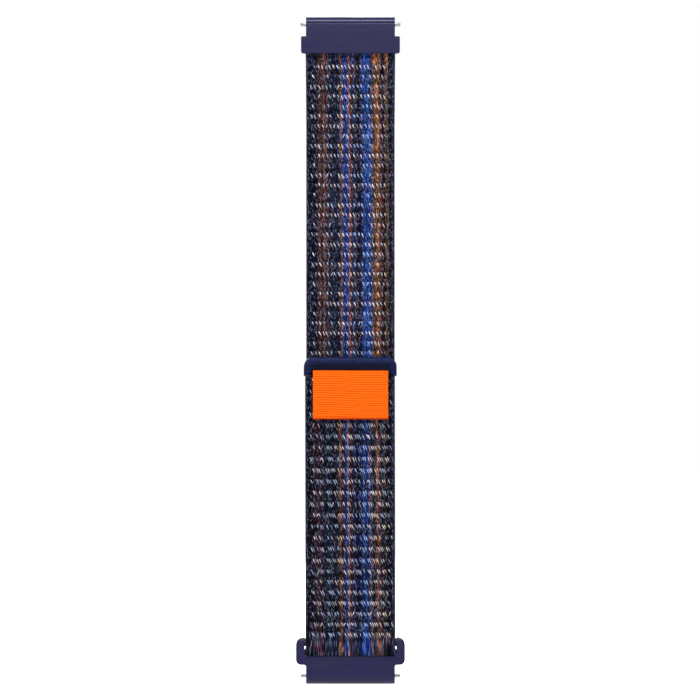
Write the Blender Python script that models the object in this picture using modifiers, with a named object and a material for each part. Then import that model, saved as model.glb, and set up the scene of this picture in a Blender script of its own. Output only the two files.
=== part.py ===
"""A woven hook and loop watch strap, hanging straight from the spring bar at its upper end.

Metres. +X runs across the strap and +Z up along it. The front of the strap looks towards -Y, so the
side that lies on the wrist is +Y. The origin is the middle of the upper spring bar.

The band leaves the upper end piece, hangs down, folds round the bar of the ring at the bottom and
comes up again in front, where hook tape holds its free end on the band. The woven band bends
anywhere, so it is made in short lengths that hinge on its inner face and curl together.
"""

import math

import bmesh
import bpy
import numpy as np
from mathutils import Matrix, Vector

mm = 0.001

# Fits. The close gap is for turned steel in steel, the free gap for cloth and mouldings.
close_gap = 0.06 * mm
free_gap = 0.3 * mm
cut_overrun = 2.0 * mm

# Spring bars, the quick release kind, for a gap of 22 mm between the lugs of a watch.
adapter_width = 21.8 * mm
tube_inset = 0.3 * mm
tube_radius = 0.9 * mm
tube_wall = 0.22 * mm
crimp_length = 0.5 * mm
tip_radius = 0.45 * mm
tip_reach = 1.35 * mm
tip_chamfer = 0.12 * mm
fixed_head_length = 2.0 * mm
knob_inset = 4.4 * mm
plunger_tail = 1.1 * mm
plunger_travel = 1.3 * mm
spring_wire_radius = 0.09 * mm
spring_turns = 10
knob_post_radius = 0.26 * mm
knob_head_radius = 0.75 * mm
knob_head_height = 0.9 * mm
knob_stand_off = 0.35 * mm
knob_edge = 0.15 * mm

# The woven band.
band_thickness = 1.6 * mm
band_width = 21.7 * mm
band_flare = 0.4 * mm
flap_spread = 0.1 * mm
flap_skew = 0.4 * mm
rib_pitch = 2.42 * mm
flap_rib_pitch = 2.77 * mm
rib_depth = 0.16 * mm
ribs_per_length = 5
lengths_of_band = 11

# The upper end piece: a barrel round the spring bar, then wider shoulders with a pocket for the band.
barrel_wall = 1.0 * mm
shoulder_drop = 2.95 * mm
shoulder_height = 4.17 * mm
shoulder_corner = 0.5 * mm
barrel_corner = 0.3 * mm
pocket_depth = 3.2 * mm
pocket_wall = 0.65 * mm
pocket_side_wall = 0.77 * mm
edge_rounding = 0.22 * mm

# The ring: ears and a bar above a slot, and a barrel for the second spring bar below it.
ring_bar_height = 2.0 * mm
ring_bar_thickness = 1.8 * mm
ear_width = 2.05 * mm
ring_thickness = 3.2 * mm
ring_corner = 1.7 * mm
ring_top_rounding = 1.2 * mm
slot_clearance = 0.45 * mm
slot_play = 0.3 * mm
slot_corner = 1.5 * mm
ear_rise = 0.15 * mm
slot_sill = 1.5 * mm
neck_corner = 0.5 * mm
lower_bar_below_ears = 2.8 * mm
lower_barrel_wall = 1.1 * mm

# The fold round the ring's bar, and the free end that comes up from it.
last_length = 11.28 * mm
flap_length = 70.0 * mm
fold_sag = 0.9 * mm
sway_start = 0.8 * mm
sway_length = 6.2 * mm
peel_rise = 4.5 * mm
hook_clearance = 0.39 * mm
step_start = 1.7 * mm
step_rest = 1.4 * mm

# The navy binding round the tip, and the orange pull tab under it.
trim_overlap = 0.475 * mm
trim_height = 3.2 * mm
trim_leg_height = 4.8 * mm
trim_leg_slant = 0.7 * mm
trim_corner = 2.4 * mm
trim_thickness = 0.4 * mm
tab_inset = 1.65 * mm
tab_length = 11.8 * mm
tab_ply = 0.36 * mm
tab_rib_pitch = 0.57 * mm
tab_rib_depth = 0.09 * mm

# The hook tape on the back of the free end.
hook_tape_inset = 1.9 * mm
hook_tape_thickness = 0.4 * mm
hook_height = 0.45 * mm
hook_pitch = 1.2 * mm
hook_stem = 0.22 * mm
hook_reach = 0.3 * mm

# How finely curves are faceted.
round_steps = 16
coil_steps = 8
fillet_steps = 4
points_per_rib = 4

# Heights and places that follow from the sizes above.
length_of_band = rib_pitch * ribs_per_length
band_half = band_thickness / 2
hinge_side = band_half
barrel_radius = tube_radius + barrel_wall
lower_barrel_radius = tube_radius + lower_barrel_wall
flap_width = band_width + flap_spread
shoulder_width = band_width + band_flare + 2 * (free_gap + pocket_side_wall)
slot_width = band_width + 2 * slot_clearance
ring_width = slot_width + 2 * ear_width
trim_width = flap_width + 2 * trim_overlap
tab_width = flap_width - 2 * tab_inset
hook_tape_width = flap_width - 2 * hook_tape_inset
mouth_drop = shoulder_drop + shoulder_height
last_hinge_height = -(mouth_drop + length_of_band * lengths_of_band)
step_length = length_of_band - step_start - step_rest
ring_bar_drop = last_length - last_hinge_height
fold_radius = ring_bar_thickness / 2 + free_gap + band_half
fold_height = -(ring_bar_drop + fold_sag)
fold_floor = fold_height - fold_radius - band_half
peel_height = -(ring_bar_drop - peel_rise)
ring_top = -(ring_bar_drop - ring_bar_height / 2 - ear_rise)
slot_floor = fold_floor - slot_play
ear_floor = slot_floor - slot_sill
lower_bar_drop = lower_bar_below_ears - ear_floor
hook_space = close_gap + hook_tape_thickness + hook_height + hook_clearance
flap_stand_off = band_thickness + hook_space
tip_drop = ring_bar_drop - flap_length
flap_front = -(flap_stand_off + band_half)
flap_back = -(flap_stand_off - band_half)
trim_front = flap_front - free_gap - trim_thickness
tip_height = -tip_drop
flap_tip_height = tip_height - trim_thickness - free_gap
tab_top = tip_height - trim_height - free_gap
tab_back = flap_front - free_gap
tab_thickness = 2 * tab_ply + free_gap
tab_front = tab_back - tab_thickness


def clear_scene():
    """Remove every object that the file opened with."""
    for obj in list(bpy.data.objects):
        bpy.data.objects.remove(obj, do_unlink=True)


def new_collection(name, hidden=False):
    """Add a collection to the scene."""
    collection = bpy.data.collections.new(name)
    bpy.context.scene.collection.children.link(collection)
    collection.hide_render = hidden
    return collection


def new_material(name, colour, roughness, metallic=0.0):
    """Add a plain surface with one colour."""
    material = bpy.data.materials.new(name)
    material.use_nodes = True
    surface = material.node_tree.nodes["Principled BSDF"]
    surface.inputs["Base Color"].default_value = (*colour, 1.0)
    surface.inputs["Roughness"].default_value = roughness
    surface.inputs["Metallic"].default_value = metallic
    return material


# Local axes of an outline drawn across the strap's side, (y, z) run out along X, and of one drawn on
# its front, (x, z) run out along Y.
SIDE = Matrix(((0, 0, 1), (1, 0, 0), (0, 1, 0))).to_4x4()
FRONT = Matrix(((1, 0, 0), (0, 0, -1), (0, 1, 0))).to_4x4()

# Local Z of a turned piece laid along X, and along Y.
ALONG_X = Matrix.Rotation(math.pi / 2, 4, "Y")
ALONG_Y = Matrix.Rotation(-math.pi / 2, 4, "X")


def arc(centre, radius, start, end, steps):
    """Points along an arc, with both its ends."""
    return [
        (centre[0] + radius * math.cos(a), centre[1] + radius * math.sin(a))
        for a in np.linspace(start, end, steps + 1)
    ]


def rounded(corners):
    """An outline through corners (u, v, radius), each rounded as far as its edges leave room."""
    points = []
    for i, (u, v, radius) in enumerate(corners):
        here = Vector((u, v))
        before = Vector(corners[i - 1][:2]) - here
        after = Vector(corners[(i + 1) % len(corners)][:2]) - here
        if radius <= 0:
            points.append((u, v))
            continue
        half = before.angle(after) / 2
        back = min(radius / math.tan(half), before.length / 2, after.length / 2)
        radius = back * math.tan(half)
        middle = here + (before.normalized() + after.normalized()).normalized() * (
            radius / math.sin(half)
        )
        first = here + before.normalized() * back - middle
        last = here + after.normalized() * back - middle
        turn = first.angle_signed(last)
        for share in np.linspace(0, 1, fillet_steps + 1):
            spot = middle + Matrix.Rotation(-turn * share, 2) @ first
            points.append((spot.x, spot.y))
    return points


def mirrored(half):
    """A closed outline from its right half, which runs from the top to the bottom."""
    return half + [(-u, *rest) for u, *rest in reversed(half) if u > close_gap / 100]


def link(obj, collection, material=None):
    """Put an object in its collection, with its material."""
    collection.objects.link(obj)
    if material:
        obj.data.materials.clear()
        obj.data.materials.append(material)
    else:
        obj.hide_render = True
        obj.display_type = "WIRE"
    return obj


def outline_solid(name, outline, axes, middle, depth, collection, material=None):
    """A flat outline run out to a depth on both sides of a plane, as one closed mesh."""
    curve = bpy.data.curves.new(name, "CURVE")
    curve.dimensions = "2D"
    curve.fill_mode = "BOTH"
    curve.extrude = depth / 2
    spline = curve.splines.new("POLY")
    spline.points.add(len(outline) - 1)
    for point, (u, v) in zip(spline.points, outline):
        point.co = (u, v, 0, 1)
    spline.use_cyclic_u = True
    drawn = bpy.data.objects.new(name + "_outline", curve)
    bpy.context.scene.collection.objects.link(drawn)
    graph = bpy.context.evaluated_depsgraph_get()
    mesh = bpy.data.meshes.new_from_object(drawn.evaluated_get(graph))
    bpy.data.objects.remove(drawn)
    bpy.data.curves.remove(curve)
    weld = bmesh.new()
    weld.from_mesh(mesh)
    bmesh.ops.remove_doubles(weld, verts=weld.verts, dist=close_gap / 100)
    bmesh.ops.recalc_face_normals(weld, faces=weld.faces)
    weld.to_mesh(mesh)
    weld.free()
    mesh.transform(axes)
    offset = (middle, 0, 0) if axes == SIDE else (0, middle, 0)
    mesh.transform(Matrix.Translation(offset))
    mesh.name = name
    return link(bpy.data.objects.new(name, mesh), collection, material)


def turned_solid(name, profile, place, axes, collection, material=None):
    """A profile of (radius, height) turned round its axis, from the top down its outer side."""
    mesh = bpy.data.meshes.new(name)
    ends = [(i, i + 1) for i in range(len(profile) - 1)]
    closed_loop = profile[0][0] > 0
    if closed_loop:
        ends.append((len(profile) - 1, 0))
    mesh.from_pydata([(r, 0, h) for r, h in profile], ends, [])
    obj = link(bpy.data.objects.new(name, mesh), collection, material)
    screw = obj.modifiers.new("turn", "SCREW")
    screw.steps = round_steps
    screw.render_steps = round_steps
    screw.use_merge_vertices = True
    screw.merge_threshold = close_gap / 100
    screw.use_smooth_shade = True
    obj.matrix_world = Matrix.Translation(place) @ axes
    return obj


def rod(name, radius, start, end, collection):
    """A round cutter between two points."""
    start, end = Vector(start), Vector(end)
    mesh = bpy.data.meshes.new(name)
    build = bmesh.new()
    bmesh.ops.create_cone(
        build,
        cap_ends=True,
        segments=round_steps,
        radius1=radius,
        radius2=radius,
        depth=(end - start).length,
    )
    build.to_mesh(mesh)
    build.free()
    obj = link(bpy.data.objects.new(name, mesh), collection)
    turn = Vector((0, 0, 1)).rotation_difference(end - start).to_matrix().to_4x4()
    mesh.transform(Matrix.Translation((start + end) / 2) @ turn)
    return obj


def block(name, low, high, collection):
    """A box cutter between two corners."""
    low, high = Vector(low), Vector(high)
    mesh = bpy.data.meshes.new(name)
    build = bmesh.new()
    bmesh.ops.create_cube(build, size=1)
    build.to_mesh(mesh)
    build.free()
    mesh.transform(Matrix.Translation((low + high) / 2) @ Matrix.Diagonal((*(high - low), 1)))
    return link(bpy.data.objects.new(name, mesh), collection)


def combine(obj, other, operation):
    """Cut one object with another, join them, or keep what they share."""
    change = obj.modifiers.new(other.name, "BOOLEAN")
    change.operation = operation
    change.solver = "EXACT"
    change.object = other


def round_edges(obj, width):
    """Round the sharp edges of a moulding."""
    bevel = obj.modifiers.new("moulded_edges", "BEVEL")
    bevel.width = width
    bevel.segments = 2
    bevel.limit_method = "ANGLE"
    bevel.angle_limit = math.radians(40)


class Pivots:
    """Empties on the joints' axes, each under the one that carries it."""

    def __init__(self, collection):
        self.collection = collection
        self.empties = {}
        self.places = {}

    def add(self, name, place, parent=None):
        """Add an empty at a place in the world."""
        empty = bpy.data.objects.new(name, None)
        empty.empty_display_size = barrel_radius
        self.collection.objects.link(empty)
        self.empties[name] = empty
        self.places[name] = Vector(place)
        empty.location = self.places[name]
        if parent:
            empty.parent = self.empties[parent]
            empty.location = self.places[name] - self.places[parent]

    def carry(self, obj, name):
        """Put an object's origin on a pivot, with its shape where it was, and hang it there."""
        obj.data.transform(Matrix.Translation(-self.places[name]) @ obj.matrix_basis)
        obj.parent = self.empties[name]
        obj.matrix_basis = Matrix.Identity(4)

    def carry_turned(self, obj, name):
        """Hang a turned piece, whose axis stays its own, on a pivot."""
        obj.parent = self.empties[name]
        obj.location = obj.location - self.places[name]


def ease(share):
    """A smooth step from 0 to 1."""
    share = np.clip(share, 0, 1)
    return share * share * (3 - 2 * share)


class Centreline:
    """The band's centreline in the (y, z) plane, from the pocket down, round the fold and up."""

    def __init__(self):
        top = -(mouth_drop - pocket_depth)
        fine = points_per_rib * points_per_rib * lengths_of_band
        down = np.linspace(top, fold_height, fine)
        sway = (last_hinge_height - sway_start - down) / sway_length
        turn = np.linspace(0, math.pi, fine)[1:-1]
        up = np.linspace(fold_height, flap_tip_height, fine)
        step = (up - last_hinge_height - step_start) / step_length
        rise = fold_radius + (flap_stand_off - fold_radius) * ease(step)
        self.y = np.concatenate([fold_radius * ease(sway), fold_radius * np.cos(turn), -rise])
        self.z = np.concatenate([down, fold_height - fold_radius * np.sin(turn), up])
        self.run = np.concatenate([[0], np.cumsum(np.hypot(np.diff(self.y), np.diff(self.z)))])
        self.lowest = int(np.argmin(self.z))

    def down_to(self, height):
        """The distance along the band at which the part that hangs down is at a height."""
        return float(np.interp(-height, -self.z[: self.lowest], self.run[: self.lowest]))

    def up_to(self, height):
        """The distance along the band at which the part that comes up is at a height."""
        return float(np.interp(height, self.z[self.lowest :], self.run[self.lowest :]))

    def places(self, runs):
        """Points and unit normals, which point to the front of the hanging part."""
        y, z = np.interp(runs, self.run, self.y), np.interp(runs, self.run, self.z)
        tiny = close_gap
        along_y = np.interp(runs + tiny, self.run, self.y) - np.interp(runs - tiny, self.run, self.y)
        along_z = np.interp(runs + tiny, self.run, self.z) - np.interp(runs - tiny, self.run, self.z)
        size = np.hypot(along_y, along_z)
        return np.stack([y, z], 1), np.stack([along_z / size, -along_y / size], 1)


def ribbed_outline(line, start, end, pitch, zero):
    """The side view of a length of band, ribbed on both faces.

    Half its thickness is h = t/2 - d (1 + cos(2 pi (s - zero) / pitch)) / 2 at the distance s along
    it, with rib depth d.
    """
    count = max(2, round((end - start) / pitch * points_per_rib))
    runs = np.linspace(start, end, count + 1)
    middle, normal = line.places(runs)
    groove = (1 + np.cos(2 * math.pi * (runs - zero) / pitch)) / 2
    half = (band_half - rib_depth * groove)[:, None]
    front, back = middle + normal * half, middle - normal * half
    return [tuple(p) for p in np.concatenate([front, back[::-1]])]


def band_piece(name, line, start, end, pitch, zero, width, centre, parts, material):
    """A length of the woven band, short of its neighbours by half the free gap at each end."""
    outline = ribbed_outline(line, start + free_gap / 2, end - free_gap / 2, pitch, zero)
    return outline_solid(name, outline, SIDE, centre, width, parts, material)


def make_band(line, pivots, parts, cutters, cloth):
    """The hanging part of the band: the end in the pocket, the hinged lengths and the fold."""
    mouth = line.down_to(-mouth_drop)
    end = band_piece(
        "strap_anchor_end", line, -free_gap / 2, mouth, rib_pitch, mouth,
        band_width + band_flare, 0, parts, cloth,
    )
    pivots.carry(end, "upper_bar_axis")
    for number in range(1, lengths_of_band + 1):
        start = line.down_to(-(mouth_drop + (number - 1) * length_of_band))
        stop = line.down_to(-(mouth_drop + number * length_of_band))
        flare = band_flare * max(0, 1 - (number - 1) / 2)
        piece = band_piece(
            f"strap_main_{number:02d}", line, start, stop, rib_pitch, mouth,
            band_width + flare, 0, parts, cloth,
        )
        pivots.carry(piece, f"strap_curl_{number:02d}")
    fold = band_piece(
        "strap_fold", line, line.down_to(last_hinge_height), line.up_to(peel_height), rib_pitch,
        mouth, band_width, 0, parts, cloth,
    )
    combine(fold, fold_end(cutters), "INTERSECT")
    pivots.carry(fold, f"strap_curl_{lengths_of_band + 1:02d}")


def fold_end(cutters):
    """The front view of the fold, with lower corners that follow the ends of the ring's slot."""
    half = band_width / 2 + close_gap
    front = rounded(
        mirrored([
            (half, last_hinge_height + cut_overrun, 0),
            (half, fold_floor - close_gap, slot_corner),
        ])
    )
    return outline_solid("fold_end", front, FRONT, 0, 4 * flap_stand_off, cutters)


def flap_heights():
    """The heights of the cuts across the free end, from the peel hinge up to the tip."""
    hinges = [-(mouth_drop + n * length_of_band) for n in range(lengths_of_band, 0, -1)]
    return [peel_height] + [h for h in hinges if h < flap_tip_height - rib_pitch] + [flap_tip_height]


def make_flap(line, pivots, parts, cutters, cloth):
    """The free end of the band, in front, which leans a little to the left towards its tip."""
    heights = flap_heights()
    tip = line.up_to(flap_tip_height)
    for number, (low, high) in enumerate(zip(heights, heights[1:]), 1):
        share = (high - peel_height) / (flap_tip_height - peel_height)
        end = line.up_to(high) + (free_gap / 2 if high == flap_tip_height else 0)
        piece = band_piece(
            f"flap_{number:02d}", line, line.up_to(low), end, flap_rib_pitch, tip,
            flap_width, -flap_skew * share, parts, cloth,
        )
        if high == flap_tip_height:
            combine(piece, flap_end(low, cutters), "INTERSECT")
        pivots.carry(piece, flap_pivot(number))


def flap_end(low, cutters):
    """The front view of the free end's last length, with corners that stay inside the binding's."""
    half = flap_width / 2 + flap_skew + close_gap
    front = rounded(
        mirrored([
            (half, flap_tip_height + close_gap, trim_corner),
            (half, low - cut_overrun, 0),
        ])
    )
    return outline_solid("flap_end", front, FRONT, 0, 4 * flap_stand_off, cutters)


def flap_pivot(number):
    """The pivot that carries a length of the free end."""
    return "flap_peel" if number == 1 else f"flap_curl_{lengths_of_band + 3 - number:02d}"


def hook_outline(low, high):
    """The side view of hook tape: a strip with a row of hooks that bend over at their tips."""
    back = flap_back + close_gap
    root = back + hook_tape_thickness
    tip = root + hook_height
    count = max(1, int((high - low - hook_pitch) / hook_pitch))
    margin = (high - low - count * hook_pitch) / 2
    points = [(back, high), (back, low), (root, low)]
    for n in range(count):
        foot = low + margin + n * hook_pitch + (hook_pitch - hook_stem - hook_reach) / 2
        points += [
            (root, foot),
            (tip - hook_stem, foot),
            (tip, foot + hook_stem),
            (tip, foot + hook_stem + hook_reach),
            (tip - hook_stem, foot + hook_stem + hook_reach),
            (tip - hook_stem, foot + hook_stem),
            (root, foot + hook_stem),
        ]
    return points + [(root, high)]


def make_hook_tape(pivots, parts, nylon):
    """Hook tape on the back of the free end, one strip on each length that stands off the band."""
    heights = flap_heights()
    first = next(n for n, low in enumerate(heights, 1) if low > last_hinge_height + step_length)
    for number in range(first, len(heights)):
        low = heights[number - 1] + free_gap
        high = heights[number] - free_gap
        if number == len(heights) - 1:
            high = tip_height - trim_leg_height - free_gap
        tape = outline_solid(
            f"hook_tape_{number - first + 1:02d}", hook_outline(low, high), SIDE, -flap_skew,
            hook_tape_width, parts, nylon,
        )
        pivots.carry(tape, flap_pivot(number))


def make_trim(pivots, parts, cutters, satin):
    """The binding: a tape folded over the tip, with a leg down each side of the pull tab."""
    half = trim_width / 2
    inside = tab_width / 2 + free_gap
    top = tip_height
    legs = top - trim_leg_height
    front = rounded(
        mirrored([
            (half, top, trim_corner),
            (half, legs, 0),
            (inside + trim_leg_slant, legs, 0),
            (inside, top - trim_height, 0),
        ])
    )
    deep = 2 * (cut_overrun - trim_front)
    trim = outline_solid("tip_trim", front, FRONT, 0, deep, parts, satin)
    outer_back = flap_back + free_gap + trim_thickness
    low = legs - cut_overrun
    inner_front, inner_back = flap_front - free_gap, flap_back + free_gap
    inner_top = flap_tip_height + free_gap
    foot = top - trim_thickness / 2
    radius = (outer_back - trim_front) / 2
    crown = (trim_thickness / 2 - close_gap) / radius
    turn = arc(((outer_back + trim_front) / 2, foot), radius, 0, math.pi, fillet_steps * 2)
    side = [
        (trim_front, low), (inner_front, low), (inner_front, inner_top), (inner_back, inner_top),
        (inner_back, low), (outer_back, low), *[(y, foot + (z - foot) * crown) for y, z in turn],
    ]
    folded = outline_solid("trim_fold", side, SIDE, 0, trim_width * 2, cutters)
    combine(trim, folded, "INTERSECT")
    pivots.carry(trim, flap_pivot(len(flap_heights()) - 1))


def ribbon_outline():
    """The side view of the pull tab: a ribbed ribbon folded back on itself at its lower end."""
    bottom = tab_top - tab_length
    bend = bottom + tab_thickness / 2
    ribs = max(1, round((tab_top - bend - tab_rib_pitch) / tab_rib_pitch))
    heights = np.linspace(tab_top, bend, 2 * ribs + 1)
    depths = [tab_rib_depth if n % 2 else 0 for n in range(len(heights))]
    centre = ((tab_front + tab_back) / 2, bend)
    outer_front = [(tab_front + d, z) for d, z in zip(depths, heights)]
    outer_back = [(tab_back - d, z) for d, z in zip(depths, heights)]
    turn = arc(centre, tab_thickness / 2, math.pi, 2 * math.pi, fillet_steps * 2)[1:-1]
    inner = arc(centre, free_gap / 2, 2 * math.pi, math.pi, fillet_steps)
    inner_top = [(tab_back - tab_ply, tab_top), (tab_front + tab_ply, tab_top)]
    return outer_front + turn + outer_back[::-1] + inner_top[:1] + inner + inner_top[1:]


def make_tab(pivots, parts, grosgrain):
    """The orange pull tab, held by its upper edge under the binding."""
    tab = outline_solid("pull_tab", ribbon_outline(), SIDE, 0, tab_width, parts, grosgrain)
    pivots.carry(tab, "pull_tab_lift")


class SpringBar:
    """A quick release spring bar: a crimped tube, a fixed tip, a sprung tip and its knob."""

    def __init__(self, prefix, height, parts, cutters, steel, pivots, fixed, moving):
        self.prefix = prefix
        self.height = height
        self.parts = parts
        self.cutters = cutters
        self.steel = steel
        self.pivots = pivots
        self.fixed = fixed
        self.moving = moving
        self.half = adapter_width / 2 - tube_inset
        self.bore = tube_radius - tube_wall
        self.head_radius = self.bore - close_gap
        self.reach = adapter_width / 2 + tip_reach
        self.knob_x = self.half - knob_inset

    def place(self, x=0.0, y=0.0):
        """A point on the spring bar's axis or beside it."""
        return Vector((x, y, self.height))

    def make_tube(self):
        """The tube, with both ends crimped in over the heads, and a slot for the knob."""
        lip = tip_radius + close_gap
        shoulder = self.half - crimp_length
        profile = [
            (tube_radius - tube_wall, self.half),
            (tube_radius, shoulder + tube_wall),
            (tube_radius, -shoulder - tube_wall),
            (tube_radius - tube_wall, -self.half),
            (lip, -self.half),
            (lip, -shoulder),
            (self.bore, -shoulder),
            (self.bore, shoulder),
            (lip, shoulder),
            (lip, self.half),
        ]
        tube = turned_solid(
            self.prefix + "_tube", profile, self.place(), ALONG_X, self.parts, self.steel
        )
        side = knob_post_radius + close_gap
        slot = block(
            self.prefix + "_slot_cutter",
            (self.knob_x - plunger_travel - side, 0, self.height - side),
            (self.knob_x + side, tube_radius + cut_overrun, self.height + side),
            self.cutters,
        )
        combine(tube, slot, "DIFFERENCE")
        self.pivots.carry_turned(tube, self.fixed)

    def tip_profile(self, end, shoulder, tail):
        """A tip that stands out of the tube's crimped end, with its head inside the tube."""
        return [
            (0, end),
            (tip_radius - tip_chamfer, end),
            (tip_radius, end - tip_chamfer),
            (tip_radius, shoulder),
            (self.head_radius, shoulder),
            (self.head_radius, tail),
            (0, tail),
        ]

    def make_fixed_tip(self):
        """The tip that the left end of the tube is crimped on."""
        shoulder = self.half - crimp_length - close_gap
        profile = self.tip_profile(self.reach, shoulder, shoulder - fixed_head_length)
        tip = turned_solid(
            self.prefix + "_fixed_tip", profile, self.place(), ALONG_X @ Matrix.Rotation(math.pi, 4, "X"),
            self.parts, self.steel,
        )
        self.pivots.carry_turned(tip, self.fixed)

    def make_plunger(self):
        """The sprung tip, with a cross hole for the knob's post."""
        shoulder = self.half - crimp_length - close_gap
        tail = self.knob_x - knob_post_radius - plunger_tail
        profile = self.tip_profile(self.reach, shoulder, tail)
        plunger = turned_solid(
            self.prefix + "_plunger", profile, self.place(), ALONG_X, self.parts, self.steel
        )
        hole = rod(
            self.prefix + "_post_cutter", knob_post_radius + close_gap,
            self.place(self.knob_x, -close_gap), self.place(self.knob_x, tube_radius), self.cutters,
        )
        combine(plunger, hole, "DIFFERENCE")
        self.pivots.carry_turned(plunger, self.moving)
        return tail

    def make_knob(self):
        """The release knob, pressed into the plunger through the tube's slot."""
        base = tube_radius + knob_stand_off
        top = base + knob_head_height
        profile = [
            (0, top),
            (knob_head_radius - knob_edge, top),
            (knob_head_radius, top - knob_edge),
            (knob_head_radius, base),
            (knob_post_radius, base),
            (knob_post_radius, 0),
            (0, 0),
        ]
        knob = turned_solid(
            self.prefix + "_release_knob", profile, self.place(self.knob_x), ALONG_Y, self.parts,
            self.steel,
        )
        self.pivots.carry_turned(knob, self.moving)

    def make_spring(self, tail):
        """The coil spring between the fixed tip's head and the plunger."""
        start = -(self.half - crimp_length - close_gap - fixed_head_length)
        start += spring_wire_radius + close_gap
        end = tail - spring_wire_radius - close_gap
        coil_radius = self.head_radius - spring_wire_radius
        turns = np.linspace(0, spring_turns, spring_turns * coil_steps + 1)
        curve = bpy.data.curves.new(self.prefix + "_spring", "CURVE")
        curve.dimensions = "3D"
        curve.bevel_depth = spring_wire_radius
        curve.bevel_resolution = 1
        curve.use_fill_caps = True
        spline = curve.splines.new("POLY")
        spline.points.add(len(turns) - 1)
        for point, turn in zip(spline.points, turns):
            angle = 2 * math.pi * turn
            x = start + (end - start) * turn / spring_turns
            across = coil_radius * math.cos(angle), coil_radius * math.sin(angle)
            point.co = (x, *across, 1)
        spring = link(
            bpy.data.objects.new(self.prefix + "_spring", curve), self.parts, self.steel
        )
        spring.location = self.place()
        self.pivots.carry_turned(spring, self.fixed)
        gap = (end - start) / spring_turns - 2 * spring_wire_radius
        print(f"{self.prefix}_spring: {gap / mm:.2f} mm between turns")

    def make(self):
        """All five pieces."""
        self.make_tube()
        self.make_fixed_tip()
        tail = self.make_plunger()
        self.make_knob()
        self.make_spring(tail)

    def cut_housing(self, housing):
        """The bore for the tube in a moulding, and the window at its back for the knob."""
        end = adapter_width / 2 + cut_overrun
        bore = rod(
            self.prefix + "_bore_cutter", tube_radius + close_gap * 2, self.place(-end),
            self.place(end), self.cutters,
        )
        combine(housing, bore, "DIFFERENCE")
        side = knob_head_radius + free_gap
        window = block(
            self.prefix + "_window_cutter",
            (self.knob_x - plunger_travel - side, 0, self.height - side),
            (self.knob_x + side, tube_radius + knob_head_height + cut_overrun, self.height + side),
            self.cutters,
        )
        combine(housing, window, "DIFFERENCE")


def make_upper_adapter(bar, pivots, parts, cutters, nylon):
    """The upper end piece: its front outline and its side view, kept where both agree."""
    body, shoulders = adapter_width / 2, shoulder_width / 2
    front = rounded(
        mirrored([
            (body, barrel_radius + close_gap, barrel_corner),
            (body, -shoulder_drop, 0),
            (shoulders, -shoulder_drop, barrel_corner),
            (shoulders, -mouth_drop, shoulder_corner),
        ])
    )
    adapter = outline_solid("upper_adapter", front, FRONT, 0, barrel_radius * 4, parts, nylon)
    mouth = band_half + free_gap + pocket_wall
    low = -mouth_drop - close_gap
    foot = rounded([(0, 0, 0), (mouth, 0, 0), (mouth, low, barrel_corner), (0, low, 0)])
    right = arc((0, 0), barrel_radius, math.pi / 2, 0, round_steps // 2) + foot[2:-1]
    side = outline_solid(
        "upper_adapter_side", mirrored(right), SIDE, 0, shoulder_width * 2, cutters
    )
    combine(adapter, side, "INTERSECT")
    round_edges(adapter, edge_rounding)
    half_pocket = (band_width + band_flare) / 2 + free_gap
    deep = band_half + free_gap
    pocket = block(
        "pocket_cutter",
        (-half_pocket, -deep, -mouth_drop - cut_overrun),
        (half_pocket, deep, -(mouth_drop - pocket_depth) + free_gap),
        cutters,
    )
    combine(adapter, pocket, "DIFFERENCE")
    bar.cut_housing(adapter)
    pivots.carry(adapter, "upper_bar_axis")


def slot_cutter(cutters):
    """The ring's slot: its floor is a seat that follows the fold, and it has rounded ends."""
    seat = fold_radius + band_half + slot_play
    open_end = ring_top + cut_overrun
    side = mirrored([(seat, open_end)] + arc((0, fold_height), seat, 0, -math.pi / 2, round_steps))
    opening = outline_solid("slot_cutter", side, SIDE, 0, ring_width, cutters)
    front = rounded(
        mirrored([
            (slot_width / 2, open_end + close_gap, 0),
            (slot_width / 2, slot_floor - close_gap, slot_corner),
        ])
    )
    ends = outline_solid("slot_ends", front, FRONT, 0, 4 * seat, cutters)
    combine(opening, ends, "INTERSECT")
    return opening


def make_ring(bar, pivots, parts, cutters, nylon):
    """The ring: ears, slot and barrel, with the bar that the band folds round."""
    ears, body = ring_width / 2, adapter_width / 2
    bottom = -(lower_bar_drop + lower_barrel_radius)
    front = rounded(
        mirrored([
            (ears, ring_top, ring_corner),
            (ears, ear_floor, ring_corner),
            (body, ear_floor, neck_corner),
            (body, bottom - close_gap, barrel_corner),
        ])
    )
    ring = outline_solid("ring_adapter", front, FRONT, 0, lower_barrel_radius * 4, parts, nylon)
    thick = ring_thickness / 2
    head = rounded([
        (0, ring_top + close_gap, 0),
        (thick, ring_top + close_gap, ring_top_rounding),
        (thick, -lower_bar_drop, 0),
        (0, -lower_bar_drop, 0),
    ])
    barrel = arc((0, -lower_bar_drop), lower_barrel_radius, 0, -math.pi / 2, round_steps // 2)
    side = outline_solid(
        "ring_side", mirrored(head[1:-2] + barrel), SIDE, 0, ring_width * 2, cutters
    )
    combine(ring, side, "INTERSECT")
    round_edges(ring, edge_rounding)
    combine(ring, slot_cutter(cutters), "DIFFERENCE")
    end = ring_bar_thickness / 2
    straight = (ring_bar_height - ring_bar_thickness) / 2
    top = arc((0, -ring_bar_drop + straight), end, math.pi / 2, 0, fillet_steps)
    foot = arc((0, -ring_bar_drop - straight), end, 0, -math.pi / 2, fillet_steps)
    stadium = top + foot
    stadium += [(-u, v) for u, v in reversed(stadium[1:-1])]
    joined = outline_solid(
        "ring_bar", stadium, SIDE, 0, slot_width + (ring_width - slot_width) / 2, cutters
    )
    combine(ring, joined, "UNION")
    bar.cut_housing(ring)
    pivots.carry(ring, "ring_pivot")


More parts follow.
